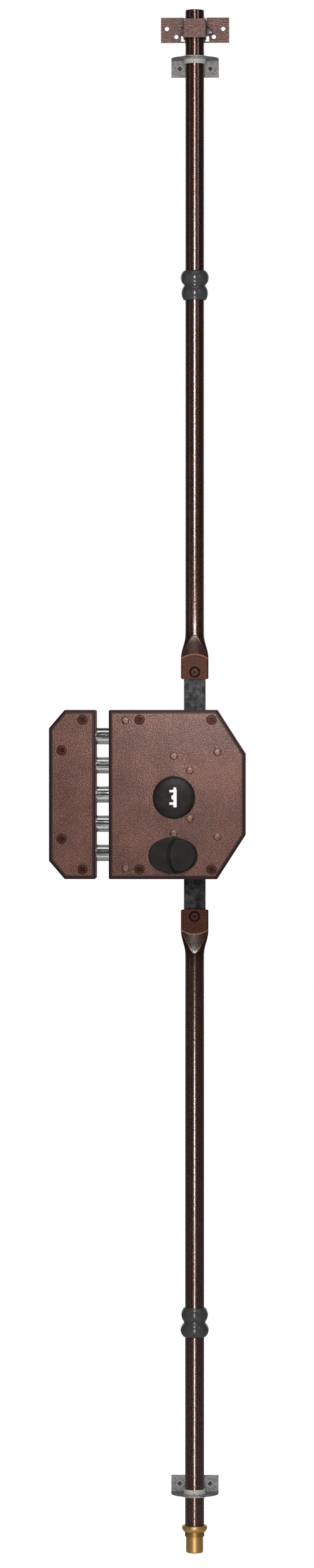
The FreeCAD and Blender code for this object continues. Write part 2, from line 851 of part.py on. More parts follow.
# Bolt carriage: one stamped plate. The bolts are riveted along its left edge. The key climbs
# along the notches of its window, and upright slots at its right end take the rockers' pins.
carriage = piece("bolt_carriage")
stamped = sketch_on(carriage, "XZ_Plane", "plate_depth")
half_outline = [
    ("-bolt_shoulder", "plate_half"),
    ("-rivet_x + bolt_tail / 2", "plate_half"),
    ("-rivet_x + bolt_tail / 2", "plate_arm_half"),
    ("plate_arm_right", "plate_arm_half"),
    ("plate_arm_right", "plate_tongue_half"),
    ("plate_tongue_right", "plate_tongue_half"),
]
lower_half = [(x, f"-{z}") for x, z in reversed(half_outline)]
outline(stamped, half_outline + lower_half)
add(carriage, stamped, "plate_thick")
for x, z in (("-guide_post_x", "guide_post_z"), ("lever_post_x", "lever_post_z")):
    run = sketch_on(carriage, "XZ_Plane", "plate_depth")
    slot(run, (f"{x} - throw - slack", z), (f"{x} + slack", z), "post_radius + slack")
    mirrored(carriage, cut(carriage, run, "plate_thick"), "XY_Plane")
drive = sketch_on(carriage, "XZ_Plane", "plate_depth")
slot(
    drive,
    ("pivot_x - half_throw", "pivot_z - swing - slack"),
    ("pivot_x - half_throw", "pivot_z - pin_reach + slack"),
    "rocker_pin + rocker_play",
)
mirrored(carriage, cut(carriage, drive, "plate_thick"), "XY_Plane")
opening = sketch_on(carriage, "XZ_Plane", "plate_depth")
floor, ceiling = "-key_z - key_window - slack", "-key_z + key_window - notch_rise"
left, right = "-key_x - key_window - throw", "-key_x + key_window"
notched = [(left, floor), (right, floor), (right, ceiling)]
for step in range(int(value("throw / notch_pitch")), -1, -1):
    middle = f"-key_x - throw + {step} * notch_pitch"
    notched += [
        (f"{middle} + notch_width / 2", ceiling),
        (f"{middle} + notch_width / 2", f"{ceiling} + notch_rise"),
        (f"{middle} - notch_width / 2", f"{ceiling} + notch_rise"),
        (f"{middle} - notch_width / 2", ceiling),
    ]
outline(opening, notched + [(left, ceiling)])
cut(carriage, opening, "plate_thick")
rivet_row = [("-rivet_x", height) for height in bolt_heights()]
holes(carriage, rivet_row, "rivet_radius + fit / 2", "plate_depth", "plate_thick")
holes(carriage, [("-stump_x", "stump_z")], "stump_radius + fit / 2", "plate_depth", "plate_thick")
node(carriage, "bolt_carriage")

# Locking stump: the pin on the carriage that the levers hold back until the key lifts them.
stump = piece("locking_stump", x="-stump_x", z="stump_z")
stump_front = "lever_first + lever_count * lever_pitch - lever_pitch + lever_thick"
turned(
    stump,
    [
        ("0", stump_front),
        ("0", "plate_depth"),
        ("stump_radius", "plate_depth"),
        ("stump_radius", f"{stump_front} - small_chamfer"),
        ("stump_radius - small_chamfer", stump_front),
    ],
)
node(stump, "locking_stump")

# Round bolts: hardened and chromed steel, chamfered at the tip, each with a flat-topped tail
# that lies behind the carriage and is riveted to it.
for number, height in enumerate(bolt_heights(), start=1):
    bolt = piece(f"deadbolt_{number}", depth="bolt_depth", z=height)
    rod_profile = sketch_on(bolt, "XY_Plane")
    outline(
        rod_profile,
        [
            ("-bolt_tip", "0"),
            ("-rivet_x + bolt_tail / 2", "0"),
            ("-rivet_x + bolt_tail / 2", "bolt_radius"),
            ("-bolt_tip + bolt_chamfer", "bolt_radius"),
            ("-bolt_tip", "bolt_radius - bolt_chamfer"),
        ],
    )
    turn_about(bolt, rod_profile, "H_Axis")
    tail = sketch_on(bolt, "XZ_Plane", "plate_depth - bolt_depth")
    rectangle(tail, "-bolt_shoulder", "-2 * bolt_radius", "bolt_tail", "2 * bolt_radius")
    cut(bolt, tail, "2 * bolt_radius")
    across = ("-2 * bolt_radius", "4 * bolt_radius")
    holes(bolt, [("-rivet_x", "0")], "rivet_radius + fit / 2", *across)
    node(bolt, f"deadbolt_{number}")

# Bolt rivets: one through each tail, headed over on the carriage.
rivet = piece("bolt_rivet")
turned(
    rivet,
    [
        ("0", "plate_front + rivet_head_rise"),
        ("0", "bolt_depth - bolt_radius + rivet_start"),
        ("rivet_radius", "bolt_depth - bolt_radius + rivet_start"),
        ("rivet_radius", "plate_front"),
        ("rivet_head_radius", "plate_front"),
        ("rivet_head_radius * dome_out", "plate_front + rivet_head_rise * dome_up"),
    ],
)
group("bolt_rivets", [(rivet, *place) for place in rivet_row])

# Rockers: bell cranks on the right-hand posts. One arm is pushed by the carriage and the other
# drives the strap, so a sideways throw becomes the same throw of the rod.
rocker = piece("upper_rocker", x="pivot_x", depth="rocker_depth", z="pivot_z")
ROD_PIN = ("-pin_reach", "half_throw")
PLATE_PIN = ("-half_throw", "-pin_reach")
for arm in (ROD_PIN, PLATE_PIN):
    limb = sketch_on(rocker, "XZ_Plane")
    slot(limb, ("0", "0"), arm, "rocker_end")
    add(rocker, limb, "rocker_thick")
hub = sketch_on(rocker, "XZ_Plane")
circle(hub, "0", "0", "rocker_hub")
add(rocker, hub, "rocker_thick")
holes(rocker, [("0", "0")], "post_radius + fit", "-past", "rocker_thick + 2 * past")
holes(rocker, [ROD_PIN, PLATE_PIN], "rocker_pin + fit / 2", "-past", "rocker_thick + 2 * past")
node(rocker, "upper_rocker")
mirror_piece(rocker, "lower_rocker")

# Rocker pins: a short one in the slot of the strap and a long one in the slot of the carriage.
pins = piece("upper_rocker_pins", x="pivot_x", depth="rocker_depth", z="pivot_z")
for (x, z), reach in ((ROD_PIN, "strap_front"), (PLATE_PIN, "plate_front")):
    round_pin = sketch_on(pins, "XZ_Plane")
    circle(round_pin, x, z, "rocker_pin")
    add(pins, round_pin, f"{reach} - rocker_depth")
node(pins, "upper_rocker_pins")
mirror_piece(pins, "lower_rocker_pins")

# Straps: flat zinc-plated bars that leave the case at its top and bottom. A cross slot takes
# the rocker's pin inside, and the outer end lies behind the flattened end of the rod.
strap = piece("upper_strap", x="rod_x")
bar = sketch_on(strap, "XZ_Plane", "strap_depth")
rectangle(bar, "-strap_width / 2", "strap_end", "strap_width / 2", "strap_top")
add(strap, bar, "strap_thick")
round_edges(strap, lambda edge: along(edge, 1), "lug_corner")
cross_slot = sketch_on(strap, "XZ_Plane", "strap_depth")
slot(
    cross_slot,
    ("-slack", "pivot_z + half_throw"),
    ("swing - pin_reach + slack", "pivot_z + half_throw"),
    "rocker_pin + rocker_play",
)
cut(strap, cross_slot, "strap_thick")
holes(strap, [("0", "joint_z")], "joint_radius + fit", "strap_depth", "strap_thick")
node(strap, "upper_strap")
mirror_piece(strap, "lower_strap")


def rod(name, end):
    """A painted steel tube whose inner end is pressed into a flat lug. end is its far end."""
    body = piece(name, x="rod_x", depth="rod_depth")
    round_section = sketch_on(body, "XY_Plane", "rod_round_start")
    corner = "rod_radius * sqrt(0.5)"
    signs = (("", ""), ("-", ""), ("-", "-"), ("", "-"))
    around = [(f"{a}{corner}", f"{b}{corner}", "rod_radius", "left") for a, b in signs]
    outline(round_section, around)
    flat_section = sketch_on(body, "XY_Plane", "rod_swell_end")
    side, thick = "(lug_width / 2 - swell_shoulder)", "rod_swell_thick / 2"
    ends = [(f"{a}{side}", f"{b}{thick}") for a, b in signs]
    bulge = ("swell_bulge", "left")
    outline(flat_section, [ends[0], ends[1] + bulge, ends[2], ends[3] + bulge])
    swell = body.newObject("PartDesign::AdditiveLoft", f"{name}_swell")
    swell.Profile = round_section
    swell.Sections = [flat_section]
    swell.Ruled = True
    doc.recompute()
    tube = sketch_on(body, "XY_Plane", "rod_round_start")
    circle(tube, "0", "0", "rod_radius")
    add(body, tube, f"{end} - rod_round_start")
    bore = sketch_on(body, "XY_Plane", "rod_round_start + 2 * rod_wall")
    circle(bore, "0", "0", "rod_bore")
    cut(body, bore, f"{end} - rod_round_start")
    lug = sketch_on(body, "XZ_Plane", "-lug_thick / 2")
    rectangle(lug, "-lug_width / 2", "lug_end", "lug_width / 2", "rod_swell_end + lug_root")
    add(body, lug, "lug_thick")
    foot = value("lug_end")
    round_edges(body, lambda edge: along(edge, 1) and lies_at(edge, 2, foot), "lug_corner")
    for level, away in (("lug_thick / 2", True), ("-lug_thick / 2", False)):
        press = sketch_on(body, "XZ_Plane", level)
        spring_line = "crease_peak - crease_radius + sqrt(crease_radius ^ 2 - press_half ^ 2)"
        outline(
            press,
            [
                ("-press_half", "lug_end - press_below"),
                ("press_half", "lug_end - press_below"),
                ("press_half", spring_line, "crease_radius", "left"),
                ("-press_half", spring_line),
            ],
        )
        cut(body, press, "rod_radius", away)
    seat = sketch_on(body, "XY_Plane", "joint_z")
    front = "-lug_thick / 2"
    outline(
        seat,
        [
            ("0", "lug_thick"),
            ("0", f"{front} - past"),
            ("joint_head_radius + fit", f"{front} - past"),
            ("joint_head_radius + fit", front),
            ("joint_radius + fit", f"{front} + joint_head_deep"),
            ("joint_radius + fit", "lug_thick"),
        ],
    )
    turn_about(body, seat, "V_Axis", "Groove")
    return body


def joint_screw(label, sign):
    """The countersunk screw through lug and strap."""
    body = piece(label, x="rod_x", z=f"{sign}joint_z")
    lug_front = "rod_depth + lug_thick / 2"
    turned(
        body,
        [
            ("0", lug_front),
            ("0", "strap_depth - nut_thick - joint_point"),
            ("joint_radius - joint_point", "strap_depth - nut_thick - joint_point"),
            ("joint_radius", "strap_depth - nut_thick"),
            ("joint_radius", f"{lug_front} - joint_head_deep"),
            ("joint_head_radius", lug_front),
        ],
    )
    for across, up in (("recess_reach", "recess_width / 2"), ("recess_width / 2", "recess_reach")):
        cross = sketch_on(body, "XZ_Plane", f"{lug_front} - recess_depth")
        rectangle(cross, f"-({across})", f"-({up})", across, up)
        cut(body, cross, "recess_depth + past")
    node(body, label)


def joint_nut(label, sign):
    """The thin hexagon nut behind the strap."""
    body = piece(label, x="rod_x", depth="strap_depth - nut_thick", z=f"{sign}joint_z")
    flats = sketch_on(body, "XZ_Plane")
    reach = "nut_width / sqrt(3)"
    half = "nut_width / 2"
    outline(
        flats,
        [
            (reach, "0"),
            (f"{reach} / 2", half),
            (f"-{reach} / 2", half),
            (f"-{reach}", "0"),
            (f"-{reach} / 2", f"-{half}"),
            (f"{reach} / 2", f"-{half}"),
        ],
    )
    add(body, flats, "nut_thick")
    holes(body, [("0", "0")], "joint_radius + fit / 2", "-past", "nut_thick + 2 * past")
    node(body, label)


# Upper rod with its pressed-in end plug, and the screw and nut that join it to its strap
node(rod("upper_rod", "rod_top"), "upper_rod")
plug = piece("upper_rod_plug", x="rod_x", depth="rod_depth")
turned_upright(
    plug,
    [
        ("0", "rod_top"),
        ("0", "rod_top - tip_long"),
        ("rod_bore - fit / 2", "rod_top - tip_long"),
        ("rod_bore - fit / 2", "rod_top"),
    ],
)
node(plug, "upper_rod_plug")
joint_screw("upper_joint_screw", "")
joint_nut("upper_joint_nut", "")

# Lower rod, the upper one turned over and shorter, with a turned nose that drops into the floor
mirror_piece(rod("lower_rod_source", "rod_bottom"), "lower_rod")
nose = piece("lower_rod_nose", x="rod_x", depth="rod_depth")
nose_end = "-(rod_bottom + nose_long)"
turned_upright(
    nose,
    [
        ("0", "-(rod_bottom - tip_long)"),
        ("0", nose_end),
        ("nose_radius - tip_round", nose_end),
        ("nose_radius", f"{nose_end} + tip_round"),
        ("nose_radius", "-rod_bottom"),
        ("rod_bore - fit / 2", "-rod_bottom"),
        ("rod_bore - fit / 2", "-(rod_bottom - tip_long)"),
    ],
)
node(nose, "lower_rod_nose")
joint_screw("lower_joint_screw", "-")
joint_nut("lower_joint_nut", "-")

# Keyhole rose: a black moulded dome, pressed into the cover by its spigot.
rose = piece("keyhole_rose", x="-key_x", z="-key_z")
turned(
    rose,
    [
        ("0", "case_depth + rose_rise"),
        ("0", "front_inside"),
        ("rose_spigot", "front_inside"),
        ("rose_spigot", "case_depth"),
        ("rose_radius", "case_depth"),
        ("rose_radius", "case_depth + rose_rim"),
        ("rose_shoulder_radius", "case_depth + rose_rim + rose_shoulder_rise"),
        ("rose_crown_radius", "case_depth + rose_rim + rose_crown_rise"),
        ("rose_flat", "case_depth + rose_rise"),
    ],
)
keyhole = sketch_on(rose, "XZ_Plane", "front_inside - past")
key_profile(keyhole)
cut(rose, keyhole, "sheet + rose_rise + 2 * past")
node(rose, "keyhole_rose")

# Keyhole guard: a steel plate behind the cover with the same keyhole.
guard = piece("keyhole_guard", x="-key_x", z="-key_z")
plate = sketch_on(guard, "XZ_Plane", "front_inside - guard_thick")
rectangle(plate, "-guard_half_x", "-guard_half_z", "guard_half_x", "guard_half_z")
add(guard, plate, "guard_thick")
round_edges(guard, lambda edge: along(edge, 1), "guard_corner")
keyhole = sketch_on(guard, "XZ_Plane", "front_inside - guard_thick - past")
key_profile(keyhole)
cut(guard, keyhole, "guard_thick + 2 * past")
node(guard, "keyhole_guard")

# Levers: a pack of stamped plates that slide up round the two lever posts when the key lifts
# them. Each has its own window for the key and an open gate at the left for the stump.
for number in range(1, int(value("lever_count")) + 1):
    lever = piece(f"lever_{number}", depth=f"lever_first + {number - 1} * lever_pitch")
    stamped = sketch_on(lever, "XZ_Plane")
    outline(
        stamped,
        [
            ("-lever_left", "-lever_foot"),
            ("lever_right", "-lever_foot"),
            ("lever_right", "lever_top"),
            ("-lever_left", "lever_top"),
            ("-lever_left", "gate_top"),
            ("gate_end", "gate_top"),
            ("gate_end", "gate_floor"),
            ("-lever_left", "gate_floor"),
        ],
    )
    add(lever, stamped, "lever_thick")
    foot = -value("lever_foot")
    round_edges(lever, lambda edge: along(edge, 1) and lies_at(edge, 2, foot), "guard_corner")
    for post in ("lever_post_z", "-lever_post_z"):
        run = sketch_on(lever, "XZ_Plane")
        slot(
            run,
            ("lever_post_x", f"{post} - lever_lift - slack"),
            ("lever_post_x", f"{post} + slack"),
            "post_radius + slack",
        )
        cut(lever, run, "lever_thick")
    window = sketch_on(lever, "XZ_Plane")
    rectangle(
        window,
        "-key_x - key_window",
        f"-key_z - key_window - {number} * lever_window_step",
        "-key_x + key_window",
        "-key_z + key_window",
    )
    cut(lever, window, "lever_thick")
    node(lever, f"lever_{number}")

# Lever springs: a bowed strip of spring steel above each lever, held by a block that is fixed
# behind the cover.
block = piece("lever_spring_block")
lump = sketch_on(block, "XZ_Plane", "lever_first")
rectangle(
    lump,
    "-spring_block_x - spring_block_width",
    "spring_block_z",
    "-spring_block_x",
    "spring_block_z + spring_block_tall",
)
add(block, lump, "front_inside - lever_first")
node(block, "lever_spring_block")
for number in range(1, int(value("lever_count")) + 1):
    spring = piece(f"lever_spring_{number}")
    middle = f"lever_first + {number - 1} * lever_pitch + (lever_thick - spring_width) / 2"
    strip = sketch_on(spring, "XZ_Plane", middle)
    outline(
        strip,
        [
            ("-spring_block_x", "spring_root_z - spring_strip", "spring_bow", "right"),
            ("spring_tip_x - spring_strip", "lever_top + fit"),
            ("spring_tip_x", "lever_top + fit", "spring_bow + spring_strip", "left"),
            ("-spring_block_x", "spring_root_z"),
        ],
    )
    add(spring, strip, "spring_width")
    node(spring, f"lever_spring_{number}")

# Inner slide: a black oval base staked to the cover, with a finger groove, and a domed pad that
# slides across it. The pad's stem carries the catch plate behind the cover.
oval = piece("slide_base", x="-slide_x", z="-slide_z")
shape = sketch_on(oval, "XZ_Plane", "case_depth")
outline(
    shape,
    [
        ("oval_x", "-oval_z", "slide_end_radius", "left"),
        ("oval_x", "oval_z", "slide_long_radius", "left"),
        ("-oval_x", "oval_z", "slide_end_radius", "left"),
        ("-oval_x", "-oval_z", "slide_long_radius", "left"),
    ],
)
add(oval, shape, "slide_base")
face = -value("slide_front")
round_edges(oval, lambda edge: lies_at(edge, 1, face), "slide_round")
groove = sketch_on(oval, "XZ_Plane", "slide_front - groove_deep")
outline(
    groove,
    [
        ("pad_tip_x", "-pad_half", "pad_side_radius", "right"),
        ("pad_tip_x", "pad_half"),
        ("pad_tip_x", "slide_half_z"),
        ("pad_tip_x - groove_width", "slide_half_z"),
        ("pad_tip_x - groove_width", "pad_half", "pad_side_radius", "left"),
        ("pad_tip_x - groove_width", "-pad_half"),
        ("pad_tip_x - groove_width", "-slide_half_z"),
        ("pad_tip_x", "-slide_half_z"),
    ],
)
cut(oval, groove, "groove_deep + past")
for side in ("-", ""):
    peg = sketch_on(oval, "XZ_Plane", "front_inside")
    circle(peg, "-peg_x", f"{side}peg_z", "peg_radius")
    add(oval, peg, "sheet + root")
way = sketch_on(oval, "XZ_Plane", "front_inside")
rectangle(
    way,
    "stem_x - stem_half_x - slide_travel - slack",
    "-stem_half_z - slack",
    "stem_x + stem_half_x + slack",
    "stem_half_z + slack",
)
cut(oval, way, "sheet + slide_base + past")
node(oval, "slide_base")

pad = piece("slide_pad", x="-slide_x", z="-slide_z")
shape = sketch_on(pad, "XZ_Plane", "pad_back")
outline(
    shape,
    [
        ("pad_tip_x", "pad_half", "pad_side_radius", "left"),
        ("pad_tip_x", "-pad_half", "pad_round_radius", "left"),
        ("pad_right", "0", "pad_round_radius", "left"),
    ],
)
add(pad, shape, "pad_rise")
face = -value("pad_back + pad_rise")
round_edges(pad, lambda edge: lies_at(edge, 1, face), "pad_edge")
stem = sketch_on(pad, "XZ_Plane", "catch_back + catch_thick")
rectangle(stem, "stem_x - stem_half_x", "-stem_half_z", "stem_x + stem_half_x", "stem_half_z")
add(pad, stem, "pad_back - catch_back - catch_thick + root")
holes(
    pad,
    [("stem_x", "0")],
    "catch_screw_radius + fit / 2",
    "catch_back",
    "catch_screw_long + catch_thick",
)
node(pad, "slide_pad")

catch = piece("slide_catch", x="-slide_x", z="-slide_z")
shape = sketch_on(catch, "XZ_Plane", "catch_back")
rectangle(
    shape,
    "stem_x - catch_left",
    "-catch_half_z",
    "stem_x + catch_right",
    "catch_half_z",
)
add(catch, shape, "catch_thick")
round_edges(catch, lambda edge: along(edge, 1), "lug_corner")
holes(
    catch,
    [("stem_x", "0")],
    "catch_screw_radius + fit / 2",
    "catch_back - past",
    "catch_thick + 2 * past",
)
node(catch, "slide_catch")

catch_screw = piece("slide_catch_screw", x="-slide_x + stem_x", z="-slide_z")
catch_screw_end = "catch_back + catch_thick + catch_screw_long - screw_spare"
turned(
    catch_screw,
    [
        ("0", catch_screw_end),
        ("0", "catch_back - catch_head_tall"),
        ("catch_head_radius - small_chamfer", "catch_back - catch_head_tall"),
        ("catch_head_radius", "catch_back - catch_head_tall + small_chamfer"),
        ("catch_head_radius", "catch_back"),
        ("catch_screw_radius", "catch_back"),
        ("catch_screw_radius", catch_screw_end),
    ],
)
node(catch_screw, "slide_catch_screw")

# Strike box on the frame: a pressed cover like the case's, on a flat plate with four pillars.
strike = piece("strike_cover")
box_shell(strike, strike_outline)
bolt_holes(strike, "-(strike_right + sheet + past)", "sheet + 2 * past")
screw_seats(strike, STRIKE_SCREWS, *COVER_SEAT)
node(strike, "strike_cover")
strike_base = piece("strike_back_plate")
flat = sketch_on(strike_base, "XZ_Plane")
outline(flat, strike_outline("sheet + play"))
add(strike_base, flat, "sheet")
holes(strike_base, STRIKE_SCREWS, "pillar_neck + fit / 2", "-past", "sheet + 2 * past")
node(strike_base, "strike_back_plate")


def guide_bracket(name, height):
    """A galvanised steel angle: a plate on the door and a round-fronted shelf with the bush."""
    body = piece(name, x="rod_x", z=height)
    plate = sketch_on(body, "XZ_Plane")
    rectangle(plate, "-guide_half", "-guide_tall", "guide_half", "0")
    add(body, plate, "sheet")
    shelf = sketch_on(body, "XY_Plane", "-sheet")
    outline(
        shelf,
        [
            ("-guide_half", "0"),
            ("-guide_half", "-guide_straight", "guide_half", "left"),
            ("0", "-(guide_straight + guide_half)", "guide_half", "left"),
            ("guide_half", "-guide_straight"),
            ("guide_half", "0"),
        ],
    )
    add(body, shelf, "sheet")
    top = 0.0
    round_edges(body, lambda edge: lies_at(edge, 1, 0) and lies_at(edge, 2, top), "guide_bend")
    round_hole = sketch_on(body, "XY_Plane", "-sheet - past")
    circle(round_hole, "0", "-rod_depth", "bush_outside + fit / 2")
    cut(body, round_hole, "sheet + 2 * past")
    screws = [(f"{side}guide_hole_half", "-guide_hole_drop") for side in ("-", "")]
    screw_seats(body, screws, "sheet", "guide_screw_radius", "guide_head_radius", "sheet")
    return body


def guide_bush(name, height):
    """A pale nylon ring, split at the front, that snaps into a bracket's shelf round the rod."""
    body = piece(name, x="rod_x", depth="rod_depth", z=height)
    turned_upright(
        body,
        [
            ("rod_radius + fit", "bush_lip_rise"),
            ("rod_radius + fit", "-bush_long"),
            ("bush_outside", "-bush_long"),
            ("bush_outside", "0"),
            ("bush_outside + bush_lip", "0"),
            ("bush_outside + bush_lip", "bush_lip_rise"),
        ],
    )
    split = sketch_on(body, "XZ_Plane")
    below, above = "-bush_long - past", "bush_lip_rise + past"
    rectangle(split, "-bush_split / 2", below, "bush_split / 2", above)
    cut(body, split, "2 * rod_radius")
    return body


# Rod guides: a bracket with its bush near the end of each rod, each held by two screws.
node(guide_bracket("upper_guide", "guide_upper_z"), "upper_guide")
mirror_piece(guide_bracket("lower_guide_source", "guide_lower_z"), "lower_guide")
node(guide_bush("upper_guide_bush", "guide_upper_z"), "upper_guide_bush")
mirror_piece(guide_bush("lower_guide_bush_source", "guide_lower_z"), "lower_guide_bush")
guide_screw = piece("guide_screw")
turned(
    guide_screw,
    [
        ("0", "sheet"),
        ("0", "-guide_screw_long"),
        ("guide_screw_radius", "-guide_screw_long + 2 * guide_screw_radius"),
        ("guide_screw_radius", "0"),
        ("guide_head_radius", "sheet"),
    ],
)
drive = sketch_on(guide_screw, "XZ_Plane", "sheet - drive_deep")
diamond = [("drive_half", "0"), ("0", "drive_half"), ("-drive_half", "0"), ("0", "-drive_half")]
outline(drive, diamond)
cut(guide_screw, drive, "drive_deep + past")
group(
    "guide_screws",
    [
        (guide_screw, f"rod_x {side} guide_hole_half", height)
        for side in "-+"
        for height in ("guide_upper_z - guide_hole_drop", "guide_hole_drop - guide_lower_z")
    ],
)


def bead_guide(name, height):
    """A die-cast guide halfway along a rod: two beads round it, on a flat foot on the door."""
    body = piece(name, x="rod_x", depth="rod_depth", z=height)
    waist = "bead_groove / 2"
    large, small = [
        f"((bead_tall / 2) ^ 2 + ({size} - bead_neck) ^ 2) / (2 * ({size} - bead_neck))"
        for size in ("bead_large", "bead_small")
    ]
    turned_upright(
        body,
        [
            ("rod_radius + fit", f"-{waist} - bead_tall"),
            ("bead_neck", f"-{waist} - bead_tall", small, "left"),
            ("bead_neck", f"-{waist}"),
            ("bead_neck", waist, large, "left"),
            ("bead_neck", f"{waist} + bead_tall"),
            ("rod_radius + fit", f"{waist} + bead_tall"),
        ],
    )
    foot = sketch_on(body, "XZ_Plane", "-rod_depth")
    rectangle(foot, "-foot_half", f"-{waist} - bead_tall", "foot_half", f"{waist} + bead_tall")
    add(body, foot, "rod_depth - bead_neck + root")
    middles = [("0", f"-{waist} - bead_tall / 2"), ("0", f"{waist} + bead_tall / 2")]
    holes(body, middles, "foot_hole", "-rod_depth - past", "rod_depth - rod_radius - root")
    return body


node(bead_guide("upper_bead_guide", "bead_upper_z"), "upper_bead_guide")
mirror_piece(bead_guide("lower_bead_guide_source", "bead_lower_z"), "lower_bead_guide")

# Top strike plate: painted steel on the head of the frame. Two ears are bent up out of it, which
# leaves a window below each, and four holes take its screws.
top = piece("top_strike_plate", x="rod_x", z="top_plate_z")
flat = sketch_on(top, "XZ_Plane")
half_tall = "top_plate_tall / 2"
rectangle(flat, "-top_plate_half", f"-{half_tall}", "top_plate_half", half_tall)
add(top, flat, "sheet")
for side in ("-", ""):
    limits = [f"{side}(bridge_outside + ear_gap)", f"{side}(bridge_outside + ear_gap + ear_thick)"]
    ear = sketch_on(top, "XZ_Plane")
    rectangle(ear, limits[0], "ear_foot", limits[1], "ear_foot + ear_tall")
    add(top, ear, "sheet + ear_rise")
    gap = [f"{side}(bridge_outside - window_under)", f"{side}(bridge_outside + ear_gap + ear_thick)"]
    below = sketch_on(top, "XZ_Plane", "-past")
    rectangle(below, gap[0], f"-{half_tall} + window_sill", gap[1], "ear_foot")
    cut(top, below, "sheet + 2 * past")
    slit = [f"{side}(bridge_outside - top_notch_wide)", f"{side}(bridge_outside + ear_gap)"]
    notch = sketch_on(top, "XZ_Plane", "-past")
    rectangle(notch, slit[0], f"{half_tall} - top_notch_tall", slit[1], f"{half_tall} + past")
    cut(top, notch, "sheet + 2 * past")
four = [(f"{a}top_hole_wide", "top_hole_high") for a in ("-", "")]
four += [(f"{a}top_hole_narrow", "-top_hole_low") for a in ("-", "")]
holes(top, four, "top_hole_radius", "-past", "sheet + 2 * past")
cross_hole = sketch_on(top, "YZ_Plane", "bridge_outside")
circle(cross_hole, "-set_depth", "ear_z", "set_screw_radius + fit / 2")
cut(top, cross_hole, "ear_thick + 2 * past")
node(top, "top_strike_plate")

# Bridge: a bent steel strap over the rod, which stands on the plate between the ears.
bridge = piece("top_strike_bridge", x="rod_x", z="top_plate_z + bridge_low")
plan = sketch_on(bridge, "XY_Plane")
bridge_front = "rod_depth + bridge_inside + bridge_wall"
rectangle(plan, "-bridge_outside", f"-({bridge_front})", "bridge_outside", "-sheet")
add(bridge, plan, "bridge_tall")
front_face = -value(bridge_front)
round_edges(
    bridge, lambda edge: along(edge, 2) and lies_at(edge, 1, front_face), "bridge_bend"
)
inner = sketch_on(bridge, "XY_Plane", "-past")
rectangle(inner, "-bridge_inside", "-(rod_depth + bridge_inside)", "bridge_inside", "0")
cut(bridge, inner, "bridge_tall + 2 * past")
cross_hole = sketch_on(bridge, "YZ_Plane", "bridge_inside - past")
circle(cross_hole, "-set_depth", "ear_z - bridge_low", "set_screw_radius + fit / 2")
cut(bridge, cross_hole, "bridge_wall + 2 * past")
node(bridge, "top_strike_bridge")

# Set screw: holds the bridge to the right-hand ear.
setter = piece("top_strike_set_screw", x="rod_x", depth="set_depth", z="top_plate_z + ear_z")
side_profile = sketch_on(setter, "XY_Plane")
head_start = "bridge_outside + ear_gap + ear_thick"
outline(
    side_profile,
    [
        ("bridge_inside + fit", "0"),
        (f"{head_start} + set_head_long", "0"),
        (f"{head_start} + set_head_long", "set_head_radius - small_chamfer"),
        (f"{head_start} + set_head_long - small_chamfer", "set_head_radius"),
        (head_start, "set_head_radius"),
        (head_start, "set_screw_radius"),
        ("bridge_inside + fit", "set_screw_radius"),
    ],
)
turn_about(setter, side_profile, "H_Axis")
drive_slot = sketch_on(setter, "YZ_Plane", f"{head_start} + set_head_long - set_slot_deep")
reach = "2 * set_head_radius"
rectangle(drive_slot, "-set_slot_half", f"-{reach}", "set_slot_half", reach)
cut(setter, drive_slot, "set_slot_deep + past")
node(setter, "top_strike_set_screw")

# Floor socket: a turned brass cup with a flared lip that the lower rod's nose drops into.
socket = piece("floor_socket", x="rod_x", depth="rod_depth")
bottom, top_rim = "-socket_bottom", "-socket_top"
lip_under = "-socket_top - socket_lip_tall"
step_under = f"{lip_under} - socket_step_tall"
bore = "nose_radius + socket_slack"
turned_upright(
    socket,
    [
        ("0", bottom),
        ("socket_radius - socket_round", bottom, "socket_round", "left"),
        ("socket_radius", f"{bottom} + socket_round"),
        ("socket_radius", step_under),
        ("socket_step_radius", step_under),
        ("socket_step_radius", lip_under),
        ("socket_lip_radius - socket_flare", lip_under),
        ("socket_lip_radius", f"{lip_under} + socket_flare_tall"),
        ("socket_lip_radius", f"{top_rim} - socket_edge"),
        ("socket_lip_radius - socket_edge", top_rim),
        ("socket_cup_radius + socket_edge", top_rim),
        ("socket_cup_radius", f"{top_rim} - socket_edge"),
        ("socket_cup_radius", f"{top_rim} - socket_cup_deep"),
        (bore, f"{top_rim} - socket_cup_deep"),
        (bore, f"{bottom} + socket_floor"),
        ("0", f"{bottom} + socket_floor"),
    ],
)
node(socket, "floor_socket")

doc.recompute()
for thing in doc.Objects:
    if {"Invalid", "Error"} & set(thing.State):
        raise ValueError(f"{thing.Label} was not made: {thing.State}")
os.makedirs("parts", exist_ok=True)
for thing in nodes:
    shape = thing.Shape
    if shape.isNull() or not shape.isValid() or not shape.Solids:
        raise ValueError(f"{thing.Label} is not a sound solid")
    shape.exportStep(f"parts/{thing.Label}.step")
print(len(nodes), "nodes,", sum(len(thing.Shape.Solids) for thing in nodes), "solids")
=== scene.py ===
import json
import math

